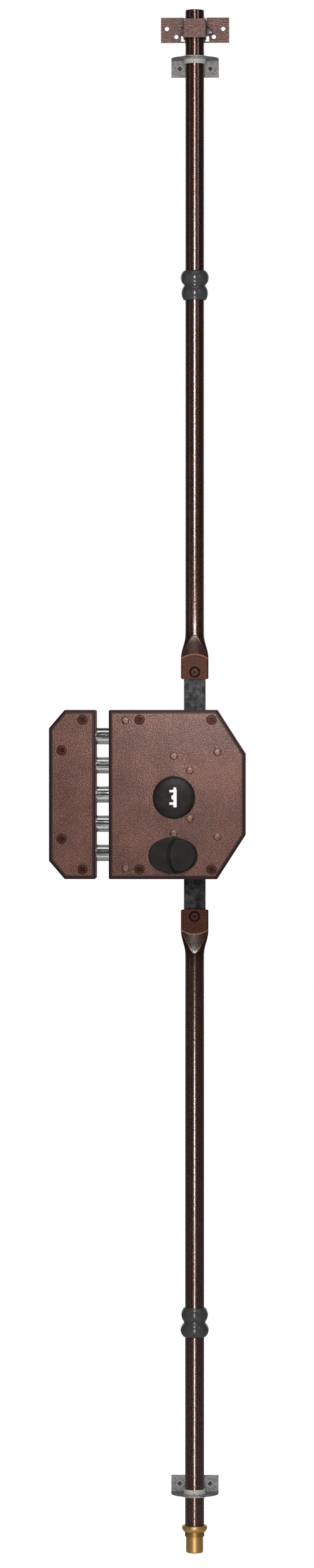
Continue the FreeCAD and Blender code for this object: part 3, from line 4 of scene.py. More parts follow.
import bmesh
import bpy
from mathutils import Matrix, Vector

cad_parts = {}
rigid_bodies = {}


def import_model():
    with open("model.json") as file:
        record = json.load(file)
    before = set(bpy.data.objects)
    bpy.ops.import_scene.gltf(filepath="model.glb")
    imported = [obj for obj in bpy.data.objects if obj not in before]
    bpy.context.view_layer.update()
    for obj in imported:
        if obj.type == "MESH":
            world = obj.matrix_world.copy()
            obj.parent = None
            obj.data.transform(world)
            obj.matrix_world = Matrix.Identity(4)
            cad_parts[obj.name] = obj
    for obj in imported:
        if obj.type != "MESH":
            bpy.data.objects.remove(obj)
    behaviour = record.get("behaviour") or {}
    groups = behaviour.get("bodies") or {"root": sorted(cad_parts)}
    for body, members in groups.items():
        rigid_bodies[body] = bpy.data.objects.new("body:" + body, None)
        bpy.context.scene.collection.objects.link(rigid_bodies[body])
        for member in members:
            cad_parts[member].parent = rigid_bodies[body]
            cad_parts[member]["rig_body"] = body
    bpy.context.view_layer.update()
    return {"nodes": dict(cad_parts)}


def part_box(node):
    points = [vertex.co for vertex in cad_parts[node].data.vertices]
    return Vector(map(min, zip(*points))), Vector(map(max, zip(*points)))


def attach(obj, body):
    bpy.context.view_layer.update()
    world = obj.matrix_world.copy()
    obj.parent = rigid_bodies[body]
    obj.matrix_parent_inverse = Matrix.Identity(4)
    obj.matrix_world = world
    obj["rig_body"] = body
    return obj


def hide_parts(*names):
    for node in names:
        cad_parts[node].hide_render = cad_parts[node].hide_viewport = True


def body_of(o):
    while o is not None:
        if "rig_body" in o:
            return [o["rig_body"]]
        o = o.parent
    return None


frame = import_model()
cad = frame["nodes"]

# Case cover and strike cover: deep trays pressed from 2 mm steel sheet and sprayed with a brown
# wrinkle paint that dries into fine leathery ridges. Painted shade darkens the bends and a band
# inside the outline, and the walls are a redder brown.
MERGE_WITHIN, FLAT_WITHIN = 0.000002, 0.004


def dress(name, material, eased=0.0):
    """A merged copy of a CAD node with eased edges and smooth bends, which stands for the node."""
    build = bmesh.new()
    build.from_mesh(cad[name].data)
    bmesh.ops.remove_doubles(build, verts=build.verts, dist=MERGE_WITHIN)
    bmesh.ops.dissolve_limit(build, angle_limit=FLAT_WITHIN, verts=build.verts, edges=build.edges)
    mesh = bpy.data.meshes.new(f"{name}_skin")
    build.to_mesh(mesh)
    build.free()
    place_piece(f"{name}_skin", mesh, [name], material, eased)


def place_piece(label, mesh, nodes, material, eased=0.0, turn=32.0):
    """A finished mesh put on the body of its CAD nodes, in their stead. turn is the sharp angle."""
    piece = bpy.data.objects.new(label, mesh)
    bpy.context.scene.collection.objects.link(piece)
    mesh.materials.clear()
    mesh.materials.append(material)
    mesh.polygons.foreach_set("use_smooth", [True] * len(mesh.polygons))
    mesh.set_sharp_from_angle(angle=math.radians(turn))
    if eased:
        ease = piece.modifiers.new("eased_edges", "BEVEL")
        ease.width, ease.segments = eased, 2
        ease.limit_method, ease.angle_limit = "ANGLE", math.radians(turn)
    flat = piece.modifiers.new("flat_faces_stay_flat", "WEIGHTED_NORMAL")
    flat.keep_sharp, flat.weight = True, 100
    settled = piece.evaluated_get(bpy.context.evaluated_depsgraph_get())
    piece.data = bpy.data.meshes.new_from_object(settled)
    piece.modifiers.clear()
    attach(piece, body_of(cad[nodes[0]])[0])
    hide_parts(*nodes)


def add_node(tree, kind, inputs=None, **settings):
    """A shader or geometry node. An input is a value or another node's output."""
    made = tree.nodes.new(kind)
    for name, setting in settings.items():
        setattr(made, name, setting)
    for name, source in (inputs or {}).items():
        if isinstance(source, bpy.types.NodeSocket):
            tree.links.new(source, made.inputs[name])
        else:
            made.inputs[name].default_value = source
    return made


def calculate(tree, operation, first, second=0.0):
    """One sum on two values."""
    return add_node(tree, "ShaderNodeMath", {0: first, 1: second}, operation=operation).outputs[0]


def spread(tree, source, low, high, new_low=0.0, new_high=1.0):
    """A value stretched from one range to another, smoothly and held at both ends."""
    span = {"Value": source, "From Min": low, "From Max": high, "To Min": new_low, "To Max": new_high}
    stretched = add_node(tree, "ShaderNodeMapRange", span, interpolation_type="SMOOTHSTEP")
    return stretched.outputs["Result"]


def blend_colours(tree, amount, first, second):
    """Two colours mixed by an amount."""
    made = add_node(tree, "ShaderNodeMix", data_type="RGBA")
    for name, source in (("Factor", amount), ("A", first), ("B", second)):
        socket = next(s for s in made.inputs if s.name == name and s.enabled)
        if isinstance(source, bpy.types.NodeSocket):
            tree.links.new(source, socket)
        else:
            socket.default_value = source
    return next(s for s in made.outputs if s.enabled)


def start_group(name, inputs, outputs):
    """An empty shader group with named numbers that go in and come out."""
    group = bpy.data.node_groups.new(name, "ShaderNodeTree")
    for label, value in inputs.items():
        socket = group.interface.new_socket(label, in_out="INPUT", socket_type="NodeSocketFloat")
        socket.default_value = value
    for label in outputs:
        group.interface.new_socket(label, in_out="OUTPUT", socket_type="NodeSocketFloat")
    return group, group.nodes.new("NodeGroupInput").outputs, group.nodes.new("NodeGroupOutput").inputs


def use_group(tree, group, **inputs):
    """A group placed in a material. Input names use _ for a space."""
    made = tree.nodes.new("ShaderNodeGroup")
    made.node_tree = group
    for name, value in inputs.items():
        made.inputs[name.replace("_", " ")].default_value = value
    return made.outputs


def start_material(name):
    """A material, its tree and its Principled shader."""
    material = bpy.data.materials.new(name)
    material.use_nodes = True
    tree = material.node_tree
    return material, tree, tree.nodes["Principled BSDF"]


def drive(tree, shader, **sources):
    """Join sources to the shader's sockets. Names use _ for a space."""
    for name, source in sources.items():
        tree.links.new(source, shader.inputs[name.replace("_", " ")])


def bump(tree, height, distance, strength):
    """A normal from a height of 0 to 1 that stands for a real depth."""
    inputs = {"Height": height, "Distance": distance, "Strength": strength}
    return add_node(tree, "ShaderNodeBump", inputs).outputs["Normal"]


def noise(tree, place, scale, detail, roughness=0.55, distortion=0.0):
    """Smooth random values from 0 to 1. scale is the number of swells in a metre."""
    inputs = {"Vector": place, "Scale": scale, "Detail": detail, "Roughness": roughness}
    inputs["Distortion"] = distortion
    return add_node(tree, "ShaderNodeTexNoise", inputs).outputs["Fac"]


def object_axes(tree):
    """The place on the object in metres, as its X, Y and Z."""
    place = add_node(tree, "ShaderNodeTexCoord").outputs["Object"]
    return add_node(tree, "ShaderNodeSeparateXYZ", {"Vector": place}).outputs


def toward_front(tree, normal):
    """How squarely a normal faces the front, which is -Y: 1 where it does and 0 on the walls."""
    backward = add_node(tree, "ShaderNodeSeparateXYZ", {"Vector": normal}).outputs["Y"]
    return calculate(tree, "MULTIPLY", backward, -1.0)


# Wrinkle: short winding ridges a millimetre or so apart on a slant, with finer grit between them.
wrinkle, given, result = start_group(
    "wrinkle", {"Ridges per metre": 900.0, "Grit per metre": 2600.0}, ["Height", "Cloud"]
)
spot = add_node(wrinkle, "ShaderNodeTexCoord").outputs["Object"]
slant = {"Vector": spot, "Rotation": (0, 0.5, 0), "Scale": (0.9, 1, 1.15)}
slanted = add_node(wrinkle, "ShaderNodeMapping", slant).outputs[0]
ridge = noise(wrinkle, slanted, given["Ridges per metre"], detail=2.0, roughness=0.5, distortion=0.35)
ridge = spread(wrinkle, ridge, 0.32, 0.68)
grit = noise(wrinkle, spot, given["Grit per metre"], detail=2.0)
height = calculate(wrinkle, "ADD", ridge, calculate(wrinkle, "MULTIPLY", grit, 0.3))
wrinkle.links.new(height, result["Height"])
wrinkle.links.new(noise(wrinkle, spot, scale=26.0, detail=4.0, roughness=0.6), result["Cloud"])

# How far a spot lies inside the outline of a cover whose outer corners are cut off. Across and Up
# point square to a cut, and Place is how far out along that line the cut lies.
inside_edge, given, result = start_group(
    "inside_edge",
    {"Left": 0.064, "Right": 0.0668, "Half height": 0.081, "Across": 0.84, "Up": 0.54, "Place": 0.077},
    ["Distance"],
)
spot = object_axes(inside_edge)
level = calculate(inside_edge, "ABSOLUTE", spot["Z"])
to_left = calculate(inside_edge, "ADD", given["Left"], spot["X"])
to_right = calculate(inside_edge, "SUBTRACT", given["Right"], spot["X"])
to_top = calculate(inside_edge, "SUBTRACT", given["Half height"], level)
across = calculate(inside_edge, "MULTIPLY", given["Across"], spot["X"])
reach = calculate(inside_edge, "ADD", across, calculate(inside_edge, "MULTIPLY", given["Up"], level))
to_cut = calculate(inside_edge, "SUBTRACT", given["Place"], reach)
to_side = calculate(inside_edge, "MINIMUM", to_left, to_right)
to_end = calculate(inside_edge, "MINIMUM", to_top, to_cut)
inside_edge.links.new(calculate(inside_edge, "MINIMUM", to_side, to_end), result["Distance"])


def leather_paint(name, **outline):
    """The wrinkle paint of one cover, with painted shade along the outline, which its inputs describe.
    """
    deep_brown, pale_brown = (0.074, 0.021, 0.012, 1), (0.140, 0.050, 0.033, 1)
    hollow_shade_brown, ridge_highlight_brown = (0.050, 0.016, 0.010, 1), (0.32, 0.18, 0.14, 1)
    bend_shade_brown, wall_red = (0.012, 0.0035, 0.0030, 1), (0.15, 0.040, 0.034, 1)
    outline_shade_begins, outline_shade_full, ridge_high = 0.0042, 0.0030, 0.00028
    material, tree, shader = start_material(name)
    grain = use_group(tree, wrinkle)
    tone = blend_colours(tree, spread(tree, grain["Cloud"], 0.35, 0.68), deep_brown, pale_brown)
    # Painted shade in the wrinkles' hollows and a painted highlight on their crests.
    tone = blend_colours(tree, spread(tree, grain["Height"], 0.1, 0.9), hollow_shade_brown, tone)
    crest_highlight = calculate(tree, "MULTIPLY", spread(tree, grain["Height"], 0.85, 1.2), 0.35)
    tone = blend_colours(tree, crest_highlight, tone, ridge_highlight_brown)
    front = toward_front(tree, add_node(tree, "ShaderNodeNewGeometry").outputs["True Normal"])
    inside = use_group(tree, inside_edge, **outline)["Distance"]
    # Painted shade on the bends and in a band inside the outline, where the rounded edge turns from the
    # light.
    rim = spread(tree, inside, outline_shade_begins, outline_shade_full)
    edge_shade_band = calculate(tree, "MAXIMUM", rim, spread(tree, front, 0.998, 0.93))
    tone = blend_colours(tree, edge_shade_band, tone, bend_shade_brown)
    tone = blend_colours(tree, spread(tree, front, 0.75, 0.45), tone, wall_red)
    relief = calculate(tree, "MULTIPLY", grain["Height"], spread(tree, edge_shade_band, 0.0, 0.7, 1.0, 0.5))
    drive(tree, shader, Base_Color=tone, Normal=bump(tree, relief, ridge_high, strength=0.5))
    gloss = spread(tree, grain["Cloud"], 0.2, 0.8, 0.27, 0.34)
    duller = calculate(tree, "MULTIPLY", edge_shade_band, 0.3)
    drive(tree, shader, Roughness=calculate(tree, "ADD", gloss, duller))
    shader.inputs["Specular IOR Level"].default_value = 0.4
    shader.inputs["Metallic"].default_value = 0.1
    return material


case_paint = leather_paint(
    "brown_leather_case_paint", Left=0.064, Right=0.0668, Across=0.8412, Up=0.5408, Place=0.07728
)
strike_box_paint = leather_paint(
    "brown_leather_strike_paint", Left=0.1213, Right=-0.0764, Across=-0.7592, Up=0.6508, Place=0.13342
)
dress("case_cover", case_paint)
dress("strike_cover", strike_box_paint)

# Riveted posts: the steel posts of the mechanism, hammered over in front of the cover and painted
# with it, so that only their low domes show, each with a faint ring of painted shade.
post_paint, tree, shader = start_material("brown_post_paint")
dome_shade, dome_light = (0.070, 0.028, 0.019, 1), (0.19, 0.090, 0.066, 1)
ring_shade = (0.022, 0.008, 0.006, 1)
grain = use_group(tree, wrinkle)
# Painted shade in the grain's hollows and a painted highlight on its ridges.
tone = blend_colours(tree, spread(tree, grain["Height"], 0.25, 1.1), dome_shade, dome_light)
front = toward_front(tree, add_node(tree, "ShaderNodeTexCoord").outputs["Normal"])
# A ring of painted shade where the dome turns from the front.
tone = blend_colours(tree, spread(tree, front, 0.75, 0.985), ring_shade, tone)
drive(tree, shader, Base_Color=tone, Normal=bump(tree, grain["Height"], 0.0004, strength=0.3))
drive(tree, shader, Roughness=spread(tree, grain["Cloud"], 0.2, 0.8, 0.3, 0.42))
shader.inputs["Specular IOR Level"].default_value = 0.6
shader.inputs["Metallic"].default_value = 0.3
dress("riveted_posts", post_paint)

# Cross-head screws: turned steel with a raised countersunk head and a pressed cross recess. Eight
# hold the covers and one joins each rod to its strap. They are painted in place and darker with
# wear, with painted shade in their recesses and on the flanks of their heads.
TURNED_SIDES, JOIN_WITHIN = 40, 0.000001


def loose_parts(name):
    """The lowest and highest corner of each separate solid of a CAD node, in the mesh's order."""
    build = bmesh.new()
    build.from_mesh(cad[name].data)
    bmesh.ops.remove_doubles(build, verts=build.verts, dist=MERGE_WITHIN)
    waiting, found = set(build.verts), []
    for first in build.verts:
        if first not in waiting:
            continue
        waiting.remove(first)
        part, to_follow = [first], [first]
        while to_follow:
            for edge in to_follow.pop().link_edges:
                for vertex in edge.verts:
                    if vertex in waiting:
                        waiting.remove(vertex)
                        to_follow.append(vertex)
                        part.append(vertex)
        low = tuple(min(v.co[i] for v in part) for i in range(3))
        high = tuple(max(v.co[i] for v in part) for i in range(3))
        found.append((low, high))
    build.free()
    return found


def start_fastener(name, inputs):
    """A geometry tree with a points input, named sizes and a material, and its output."""
    tree = bpy.data.node_groups.new(name, "GeometryNodeTree")
    tree.interface.new_socket("Geometry", in_out="INPUT", socket_type="NodeSocketGeometry")
    for label, value in inputs.items():
        socket = tree.interface.new_socket(label, in_out="INPUT", socket_type="NodeSocketFloat")
        socket.default_value = value
    tree.interface.new_socket("Material", in_out="INPUT", socket_type="NodeSocketMaterial")
    tree.interface.new_socket("Geometry", in_out="OUTPUT", socket_type="NodeSocketGeometry")
    return tree, tree.nodes.new("NodeGroupInput").outputs, tree.nodes.new("NodeGroupOutput").inputs


def turned_stack(tree, start_radius, steps):
    """A turned solid along +Z: a disc drawn up step by step to (rise, share of the last radius)."""
    round_face = {"Vertices": TURNED_SIDES, "Radius": start_radius}
    disc = add_node(tree, "GeometryNodeMeshCircle", round_face, fill_type="NGON").outputs["Mesh"]
    shape, top = disc, None
    for rise, share in steps:
        inputs = {"Mesh": shape, "Offset Scale": rise, "Individual": False}
        if top is not None:
            inputs["Selection"] = top
        drawn = add_node(tree, "GeometryNodeExtrudeMesh", inputs)
        top = drawn.outputs["Top"]
        sized = {"Geometry": drawn.outputs["Mesh"], "Selection": top, "Scale": share}
        shape = add_node(tree, "GeometryNodeScaleElements", sized).outputs["Geometry"]
    foot = add_node(tree, "GeometryNodeFlipFaces", {"Mesh": disc}).outputs[0]
    both = add_node(tree, "GeometryNodeJoinGeometry")
    for part in (shape, foot):
        tree.links.new(part, both.inputs[0])
    closing = {"Geometry": both.outputs[0], "Distance": JOIN_WITHIN}
    return add_node(tree, "GeometryNodeMergeByDistance", closing).outputs[0]


def moved(tree, shape, **change):
    """A shape shifted or turned by its Translation or Rotation."""
    return add_node(tree, "GeometryNodeTransform", {"Geometry": shape, **change}).outputs[0]


def finish_fastener(tree, given, result, head):
    """Set a head on every point, turned to the front and spun at random, as one plain mesh."""
    spin = add_node(tree, "FunctionNodeRandomValue", {"Seed": 4}, data_type="FLOAT")
    spin.inputs[2].default_value, spin.inputs[3].default_value = 0.0, math.pi
    turned = add_node(tree, "ShaderNodeCombineXYZ", {"X": math.pi / 2, "Y": spin.outputs[1]})
    inputs = {"Points": given["Geometry"], "Instance": head, "Rotation": turned.outputs[0]}
    placed = add_node(tree, "GeometryNodeInstanceOnPoints", inputs)
    plain = add_node(tree, "GeometryNodeRealizeInstances", {"Geometry": placed.outputs[0]})
    dressed = {"Geometry": plain.outputs[0], "Material": given["Material"]}
    painted = add_node(tree, "GeometryNodeSetMaterial", dressed)
    tree.links.new(painted.outputs[0], result[0])


def set_fasteners(label, tree, nodes, material, finish, **sizes):
    """The fasteners of these CAD nodes of one body, made by a tree at each solid's front end."""
    heads = [part for name in nodes for part in loose_parts(name)]
    points = [((a[0] + b[0]) / 2, a[1], (a[2] + b[2]) / 2) for a, b in heads]
    seed = bpy.data.meshes.new(f"{label}_points")
    seed.from_pydata(points, [], [])
    maker = bpy.data.objects.new(f"{label}_maker", seed)
    bpy.context.scene.collection.objects.link(maker)
    growth = maker.modifiers.new("fasteners", "NODES")
    growth.node_group = tree
    sockets = {item.name: item for item in tree.interface.items_tree if item.in_out == "INPUT"}
    for size_name, value in sizes.items():
        growth[sockets[size_name.replace("_", " ")].identifier] = value
    growth[sockets["Material"].identifier] = material
    mesh = bpy.data.meshes.new_from_object(maker.evaluated_get(bpy.context.evaluated_depsgraph_get()))
    bpy.data.objects.remove(maker)
    place_piece(label, mesh, nodes, material, turn=38.0)


def object_place(tree, scale=(1, 1, 1)):
    """The place on the object in metres, stretched along its axes."""
    place = add_node(tree, "ShaderNodeTexCoord").outputs["Object"]
    return add_node(tree, "ShaderNodeMapping", {"Vector": place, "Scale": scale}).outputs[0]


def paint_recess_shade(tree, tone, shade, distance, closed, open_air):
    """A tone that turns to a painted shade where the surface closes in on itself within a distance."""
    seen = add_node(tree, "ShaderNodeAmbientOcclusion", {"Distance": distance}, samples=6).outputs["AO"]
    return blend_colours(tree, spread(tree, seen, closed, open_air), shade, tone)


cross_screw, given, result = start_fastener(
    "cross_screw",
    {"Head radius": 0.0048, "Shank radius": 0.0024, "Length": 0.009, "Arm": 0.0021, "Sink": 0.0},
)
HEAD_TALL, CONE_TALL, RIM_TALL = 0.0026, 0.0018, 0.00025
DOME_STEPS = [(0.00025, 0.94), (0.00022, 0.80), (0.00008, 0.55)]
neck = calculate(cross_screw, "DIVIDE", given["Head radius"], given["Shank radius"])
shank = calculate(cross_screw, "SUBTRACT", given["Length"], HEAD_TALL)
steps = [(shank, 1.0), (CONE_TALL, neck), (RIM_TALL, 1.0)] + DOME_STEPS
head = turned_stack(cross_screw, given["Shank radius"], steps)
below = calculate(cross_screw, "MULTIPLY", given["Length"], -1.0)
down = add_node(cross_screw, "ShaderNodeCombineXYZ", {"Z": below}).outputs[0]
head = moved(cross_screw, head, Translation=down)

# The cross recess: two crossed arms and a tapered well, cut out of the head as one shape.
ARM_THICK, ARM_TALL = 0.0015, 0.0044
WELL_TOP, WELL_FOOT, WELL_TALL = 0.0013, 0.0004, 0.0042
arm_size = {"X": given["Arm"], "Y": ARM_THICK, "Z": ARM_TALL}
arm_size = add_node(cross_screw, "ShaderNodeCombineXYZ", arm_size).outputs[0]
arm = add_node(cross_screw, "GeometryNodeMeshCube", {"Size": arm_size}).outputs["Mesh"]
other = moved(cross_screw, arm, Rotation=(0, 0, math.pi / 2))
cone = {"Vertices": 16, "Radius Top": WELL_TOP, "Radius Bottom": WELL_FOOT, "Depth": WELL_TALL}
well = add_node(cross_screw, "GeometryNodeMeshCone", cone).outputs["Mesh"]
well = moved(cross_screw, well, Translation=(0, 0, -WELL_TALL / 2))
cutter = add_node(cross_screw, "GeometryNodeMeshBoolean", operation="UNION", solver="EXACT")
for shape in (arm, other, well):
    cross_screw.links.new(shape, cutter.inputs[1])
cut_head = add_node(cross_screw, "GeometryNodeMeshBoolean", operation="DIFFERENCE", solver="EXACT")
cross_screw.links.new(head, cut_head.inputs["Mesh 1"])
cross_screw.links.new(cutter.outputs["Mesh"], cut_head.inputs["Mesh 2"])
sunk = calculate(cross_screw, "MULTIPLY", given["Sink"], -1.0)
in_seat = add_node(cross_screw, "ShaderNodeCombineXYZ", {"Z": sunk}).outputs[0]
head = moved(cross_screw, cut_head.outputs["Mesh"], Translation=in_seat)
finish_fastener(cross_screw, given, result, head)

screw_paint, tree, shader = start_material("brown_screw_paint")
stain_dark, stain_light = (0.030, 0.009, 0.005, 1), (0.075, 0.024, 0.015, 1)
recess_shade_black, flank_shade_black = (0.004, 0.002, 0.0015, 1), (0.006, 0.003, 0.002, 1)
stain = noise(tree, object_place(tree), scale=700.0, detail=3.0)
tone = blend_colours(tree, stain, stain_dark, stain_light)
# Painted shade in the cross recess and the ring round the head.
tone = paint_recess_shade(tree, tone, recess_shade_black, distance=0.0016, closed=0.35, open_air=0.85)
front = toward_front(tree, add_node(tree, "ShaderNodeTexCoord").outputs["Normal"])
# Painted shade on the flanks of the head, which turn from the front.
tone = blend_colours(tree, spread(tree, front, 0.5, 0.97), flank_shade_black, tone)
drive(tree, shader, Base_Color=tone, Roughness=spread(tree, stain, 0.2, 0.8, 0.4, 0.55))
drive(tree, shader, Normal=bump(tree, stain, 0.0002, strength=0.3))
shader.inputs["Specular IOR Level"].default_value = 0.12

cover_screws = ["case_screws", "strike_screws"]
set_fasteners(
    "cover_screws_skin", cross_screw, cover_screws, screw_paint, "brown_leather_paint",
    Arm=0.0052, Sink=0.0002,
)
for end in ("upper", "lower"):
    set_fasteners(
        f"{end}_joint_screw_skin", cross_screw, [f"{end}_joint_screw"], screw_paint,
        "brown_hammered_paint", Head_radius=0.0038, Arm=0.0040, Sink=0.0012,
    )

# Plain steel inside and behind the case: zinc plated plates, pillars and mechanism with a dull,
# cloudy skin and eased edges.
zinc, tree, shader = start_material("zinc_plated_steel")
zinc_shade, zinc_light = (0.14, 0.145, 0.15, 1), (0.34, 0.34, 0.34, 1)
place = object_place(tree)
cloud = noise(tree, place, scale=120.0, detail=5.0, roughness=0.62)
fleck = noise(tree, place, scale=1400.0, detail=2.0)
tone = blend_colours(tree, spread(tree, cloud, 0.3, 0.7), zinc_shade, zinc_light)
drive(tree, shader, Base_Color=tone, Roughness=spread(tree, fleck, 0.25, 0.75, 0.3, 0.55))
drive(tree, shader, Normal=bump(tree, fleck, 0.00005, strength=0.6))
shader.inputs["Metallic"].default_value = 0.75
ZINC_NODES = (
    "case_back_plate strike_back_plate case_pillars strike_pillars bolt_carriage locking_stump"
    " bolt_rivets upper_rocker lower_rocker upper_rocker_pins lower_rocker_pins upper_joint_nut"
    " lower_joint_nut keyhole_guard lever_spring_block slide_catch slide_catch_screw"
    " top_strike_set_screw"
)
for name in ZINC_NODES.split():
    dress(name, zinc, eased=0.0002)

# Straps: flat steel bars that join the rods to the mechanism, cut to length and slotted. They are
# rubbed grey and blotched dark by the oil they run in.
strap_steel, tree, shader = start_material("oiled_strap_steel")
oil_black, rubbed_grey = (0.004, 0.0045, 0.006, 1), (0.042, 0.040, 0.042, 1)
bare_grey = (0.20, 0.19, 0.19, 1)
place = object_place(tree)
blotch = noise(tree, place, scale=190.0, detail=6.0, roughness=0.68)
speck = noise(tree, place, scale=1100.0, detail=2.0)
tone = blend_colours(tree, spread(tree, blotch, 0.34, 0.66), oil_black, rubbed_grey)
tone = blend_colours(tree, spread(tree, speck, 0.66, 0.78), tone, bare_grey)
drive(tree, shader, Base_Color=tone, Roughness=spread(tree, blotch, 0.3, 0.7, 0.5, 0.36))
drive(tree, shader, Normal=bump(tree, speck, 0.00006, strength=0.6))
shader.inputs["Specular IOR Level"].default_value = 0.08
for name in ("upper_strap", "lower_strap"):
    dress(name, strap_steel, eased=0.0004)

# Levers: plates stamped from brass with fine brush marks, one behind the other. Lever springs:
# strips of blued steel held in their block, each pressing on its lever.
lever_brass, tree, shader = start_material("lever_brass")
brass_shade, brass_light = (0.42, 0.27, 0.09, 1), (0.72, 0.50, 0.20, 1)
scratch = noise(tree, object_place(tree, (1, 1, 12)), scale=260.0, detail=4.0)
tone = blend_colours(tree, scratch, brass_shade, brass_light)
drive(tree, shader, Base_Color=tone, Roughness=spread(tree, scratch, 0.2, 0.8, 0.25, 0.45))
shader.inputs["Metallic"].default_value = 1.0

spring_steel, tree, shader = start_material("spring_steel")
blued, bare_steel = (0.09, 0.11, 0.17, 1), (0.22, 0.22, 0.26, 1)
tint = noise(tree, object_place(tree), scale=300.0, detail=3.0)
tone = blend_colours(tree, tint, blued, bare_steel)
drive(tree, shader, Base_Color=tone, Roughness=spread(tree, tint, 0.2, 0.8, 0.2, 0.4))
shader.inputs["Metallic"].default_value = 1.0
for number in range(1, 5):
    for name, material in ((f"lever_{number}", lever_brass), (f"lever_spring_{number}", spring_steel)):
        cad[name].data.materials.clear()
        cad[name].data.materials.append(material)

# Round bolts: five bars of hardened steel, ground round, chromed and riveted to the carriage, with
# faint marks along them from their use.
chrome, tree, shader = start_material("bright_chrome")
chrome_shade, chrome_light = (0.60, 0.60, 0.62, 1), (0.78, 0.78, 0.78, 1)
line = noise(tree, object_place(tree, (1, 14, 14)), scale=90.0, detail=3.0)
tone = blend_colours(tree, line, chrome_shade, chrome_light)
drive(tree, shader, Base_Color=tone, Roughness=spread(tree, line, 0.3, 0.8, 0.06, 0.16))
shader.inputs["Metallic"].default_value = 1.0
for number in range(1, 6):
    dress(f"deadbolt_{number}", chrome)

# Rods: steel tube sprayed with dark brown hammer paint, whose bronze flakes glint. The inner end
# is pressed flat into a lug: the tool leaves an arched crease, a sloping hollow above it and two
# ridges that run out to the corners, and the screw sits in a dimple.
hammer, given, result = start_group(
    "hammer", {"Dents per metre": 850.0}, ["Height", "Flakes", "Cloud"]
)
SWIRLS, SWIRL_REACH, FLAKES = 500.0, 0.0014, 2100.0
spot = add_node(hammer, "ShaderNodeTexCoord").outputs["Object"]
swirl = {"Vector": spot, "Scale": SWIRLS, "Detail": 1.0}
swirl = add_node(hammer, "ShaderNodeTexNoise", swirl).outputs["Color"]
shift = {0: swirl, "Scale": SWIRL_REACH}
shift = add_node(hammer, "ShaderNodeVectorMath", shift, operation="SCALE").outputs[0]
bent = add_node(hammer, "ShaderNodeVectorMath", {0: spot, 1: shift}, operation="ADD").outputs[0]
cells = {"Vector": bent, "Scale": given["Dents per metre"], "Smoothness": 0.8}
dent = add_node(hammer, "ShaderNodeTexVoronoi", cells, feature="SMOOTH_F1").outputs["Distance"]
hammer.links.new(spread(hammer, dent, 0.05, 0.7), result["Height"])
cells = {"Vector": spot, "Scale": FLAKES}
flake = add_node(hammer, "ShaderNodeTexVoronoi", cells, feature="F1").outputs["Color"]
picked = add_node(hammer, "ShaderNodeSeparateColor", {"Color": flake}).outputs["Red"]
hammer.links.new(spread(hammer, picked, 0.6, 1.0), result["Flakes"])
hammer.links.new(noise(hammer, spot, scale=60.0, detail=4.0, roughness=0.6), result["Cloud"])

# Heights along a rod are counted from the middle of the lock, and widths from the rod's own line.
ROD_LINE = 0.018
SWELL_BEGINS, SWELL_FULL, ROUND_FROM, FLAT_FROM = 0.168, 0.152, 0.153, 0.131
CREASE_TOP, CREASE_RADIUS = 0.1342, 0.023
SCREW_UP, DIMPLE_RADIUS, DIMPLE_DEEP = 0.1172, 0.0054, 0.0017

rod_paint, tree, shader = start_material("brown_hammered_paint")
tube_dark, tube_light = (0.026, 0.0085, 0.0048, 1), (0.070, 0.0240, 0.0140, 1)
copper_dark, copper_light = (0.020, 0.0058, 0.0034, 1), (0.062, 0.0190, 0.0110, 1)
swell_shade_brown, crease_highlight_brown = (0.014, 0.0042, 0.0024, 1), (0.34, 0.17, 0.12, 1)
dimple_shade_brown, flake_bronze = (0.007, 0.0025, 0.0018, 1), (0.36, 0.125, 0.07, 1)
recess_shade_black = (0.004, 0.0015, 0.001, 1)
dents = use_group(tree, hammer)
place = object_axes(tree)
far = calculate(tree, "ABSOLUTE", place["Z"])
across = calculate(tree, "SUBTRACT", place["X"], ROD_LINE)
rise = calculate(tree, "SUBTRACT", CREASE_RADIUS**2, calculate(tree, "MULTIPLY", across, across))
arch = calculate(tree, "SQRT", calculate(tree, "MAXIMUM", rise, 0.0))
arch = calculate(tree, "ADD", arch, CREASE_TOP - CREASE_RADIUS)
past_crease = calculate(tree, "SUBTRACT", far, arch)
swollen = spread(tree, far, SWELL_BEGINS, SWELL_FULL)
lug = spread(tree, past_crease, 0.0006, -0.0002)
tone = blend_colours(tree, dents["Cloud"], tube_dark, tube_light)
# Painted shade: the swell is painted darker where it turns from the light.
tone = blend_colours(tree, swollen, tone, swell_shade_brown)
copper = blend_colours(tree, dents["Height"], copper_dark, copper_light)
tone = blend_colours(tree, lug, tone, copper)
# Painted highlight: a light line along the lip of the crease.
off_crease = spread(tree, calculate(tree, "ABSOLUTE", past_crease), 0.0002, 0.0009)
on_crease = calculate(tree, "SUBTRACT", 1.0, off_crease)
crease_highlight = calculate(tree, "MULTIPLY", on_crease, spread(tree, dents["Cloud"], 0.2, 0.7, 0.35, 0.75))
tone = blend_colours(tree, crease_highlight, tone, crease_highlight_brown)
# Painted shade in the dimple round the screw.
above_screw = calculate(tree, "SUBTRACT", far, SCREW_UP)
away = add_node(tree, "ShaderNodeCombineXYZ", {"X": across, "Y": above_screw}).outputs[0]
away = add_node(tree, "ShaderNodeVectorMath", {0: away}, operation="LENGTH").outputs["Value"]
in_dimple = spread(tree, away, DIMPLE_RADIUS + 0.0004, DIMPLE_RADIUS - 0.0008)
tone = blend_colours(tree, in_dimple, tone, dimple_shade_brown)
shown = calculate(tree, "MULTIPLY", dents["Flakes"], spread(tree, far, 0.150, 0.175, 0.10, 0.42))
tone = blend_colours(tree, shown, tone, flake_bronze)
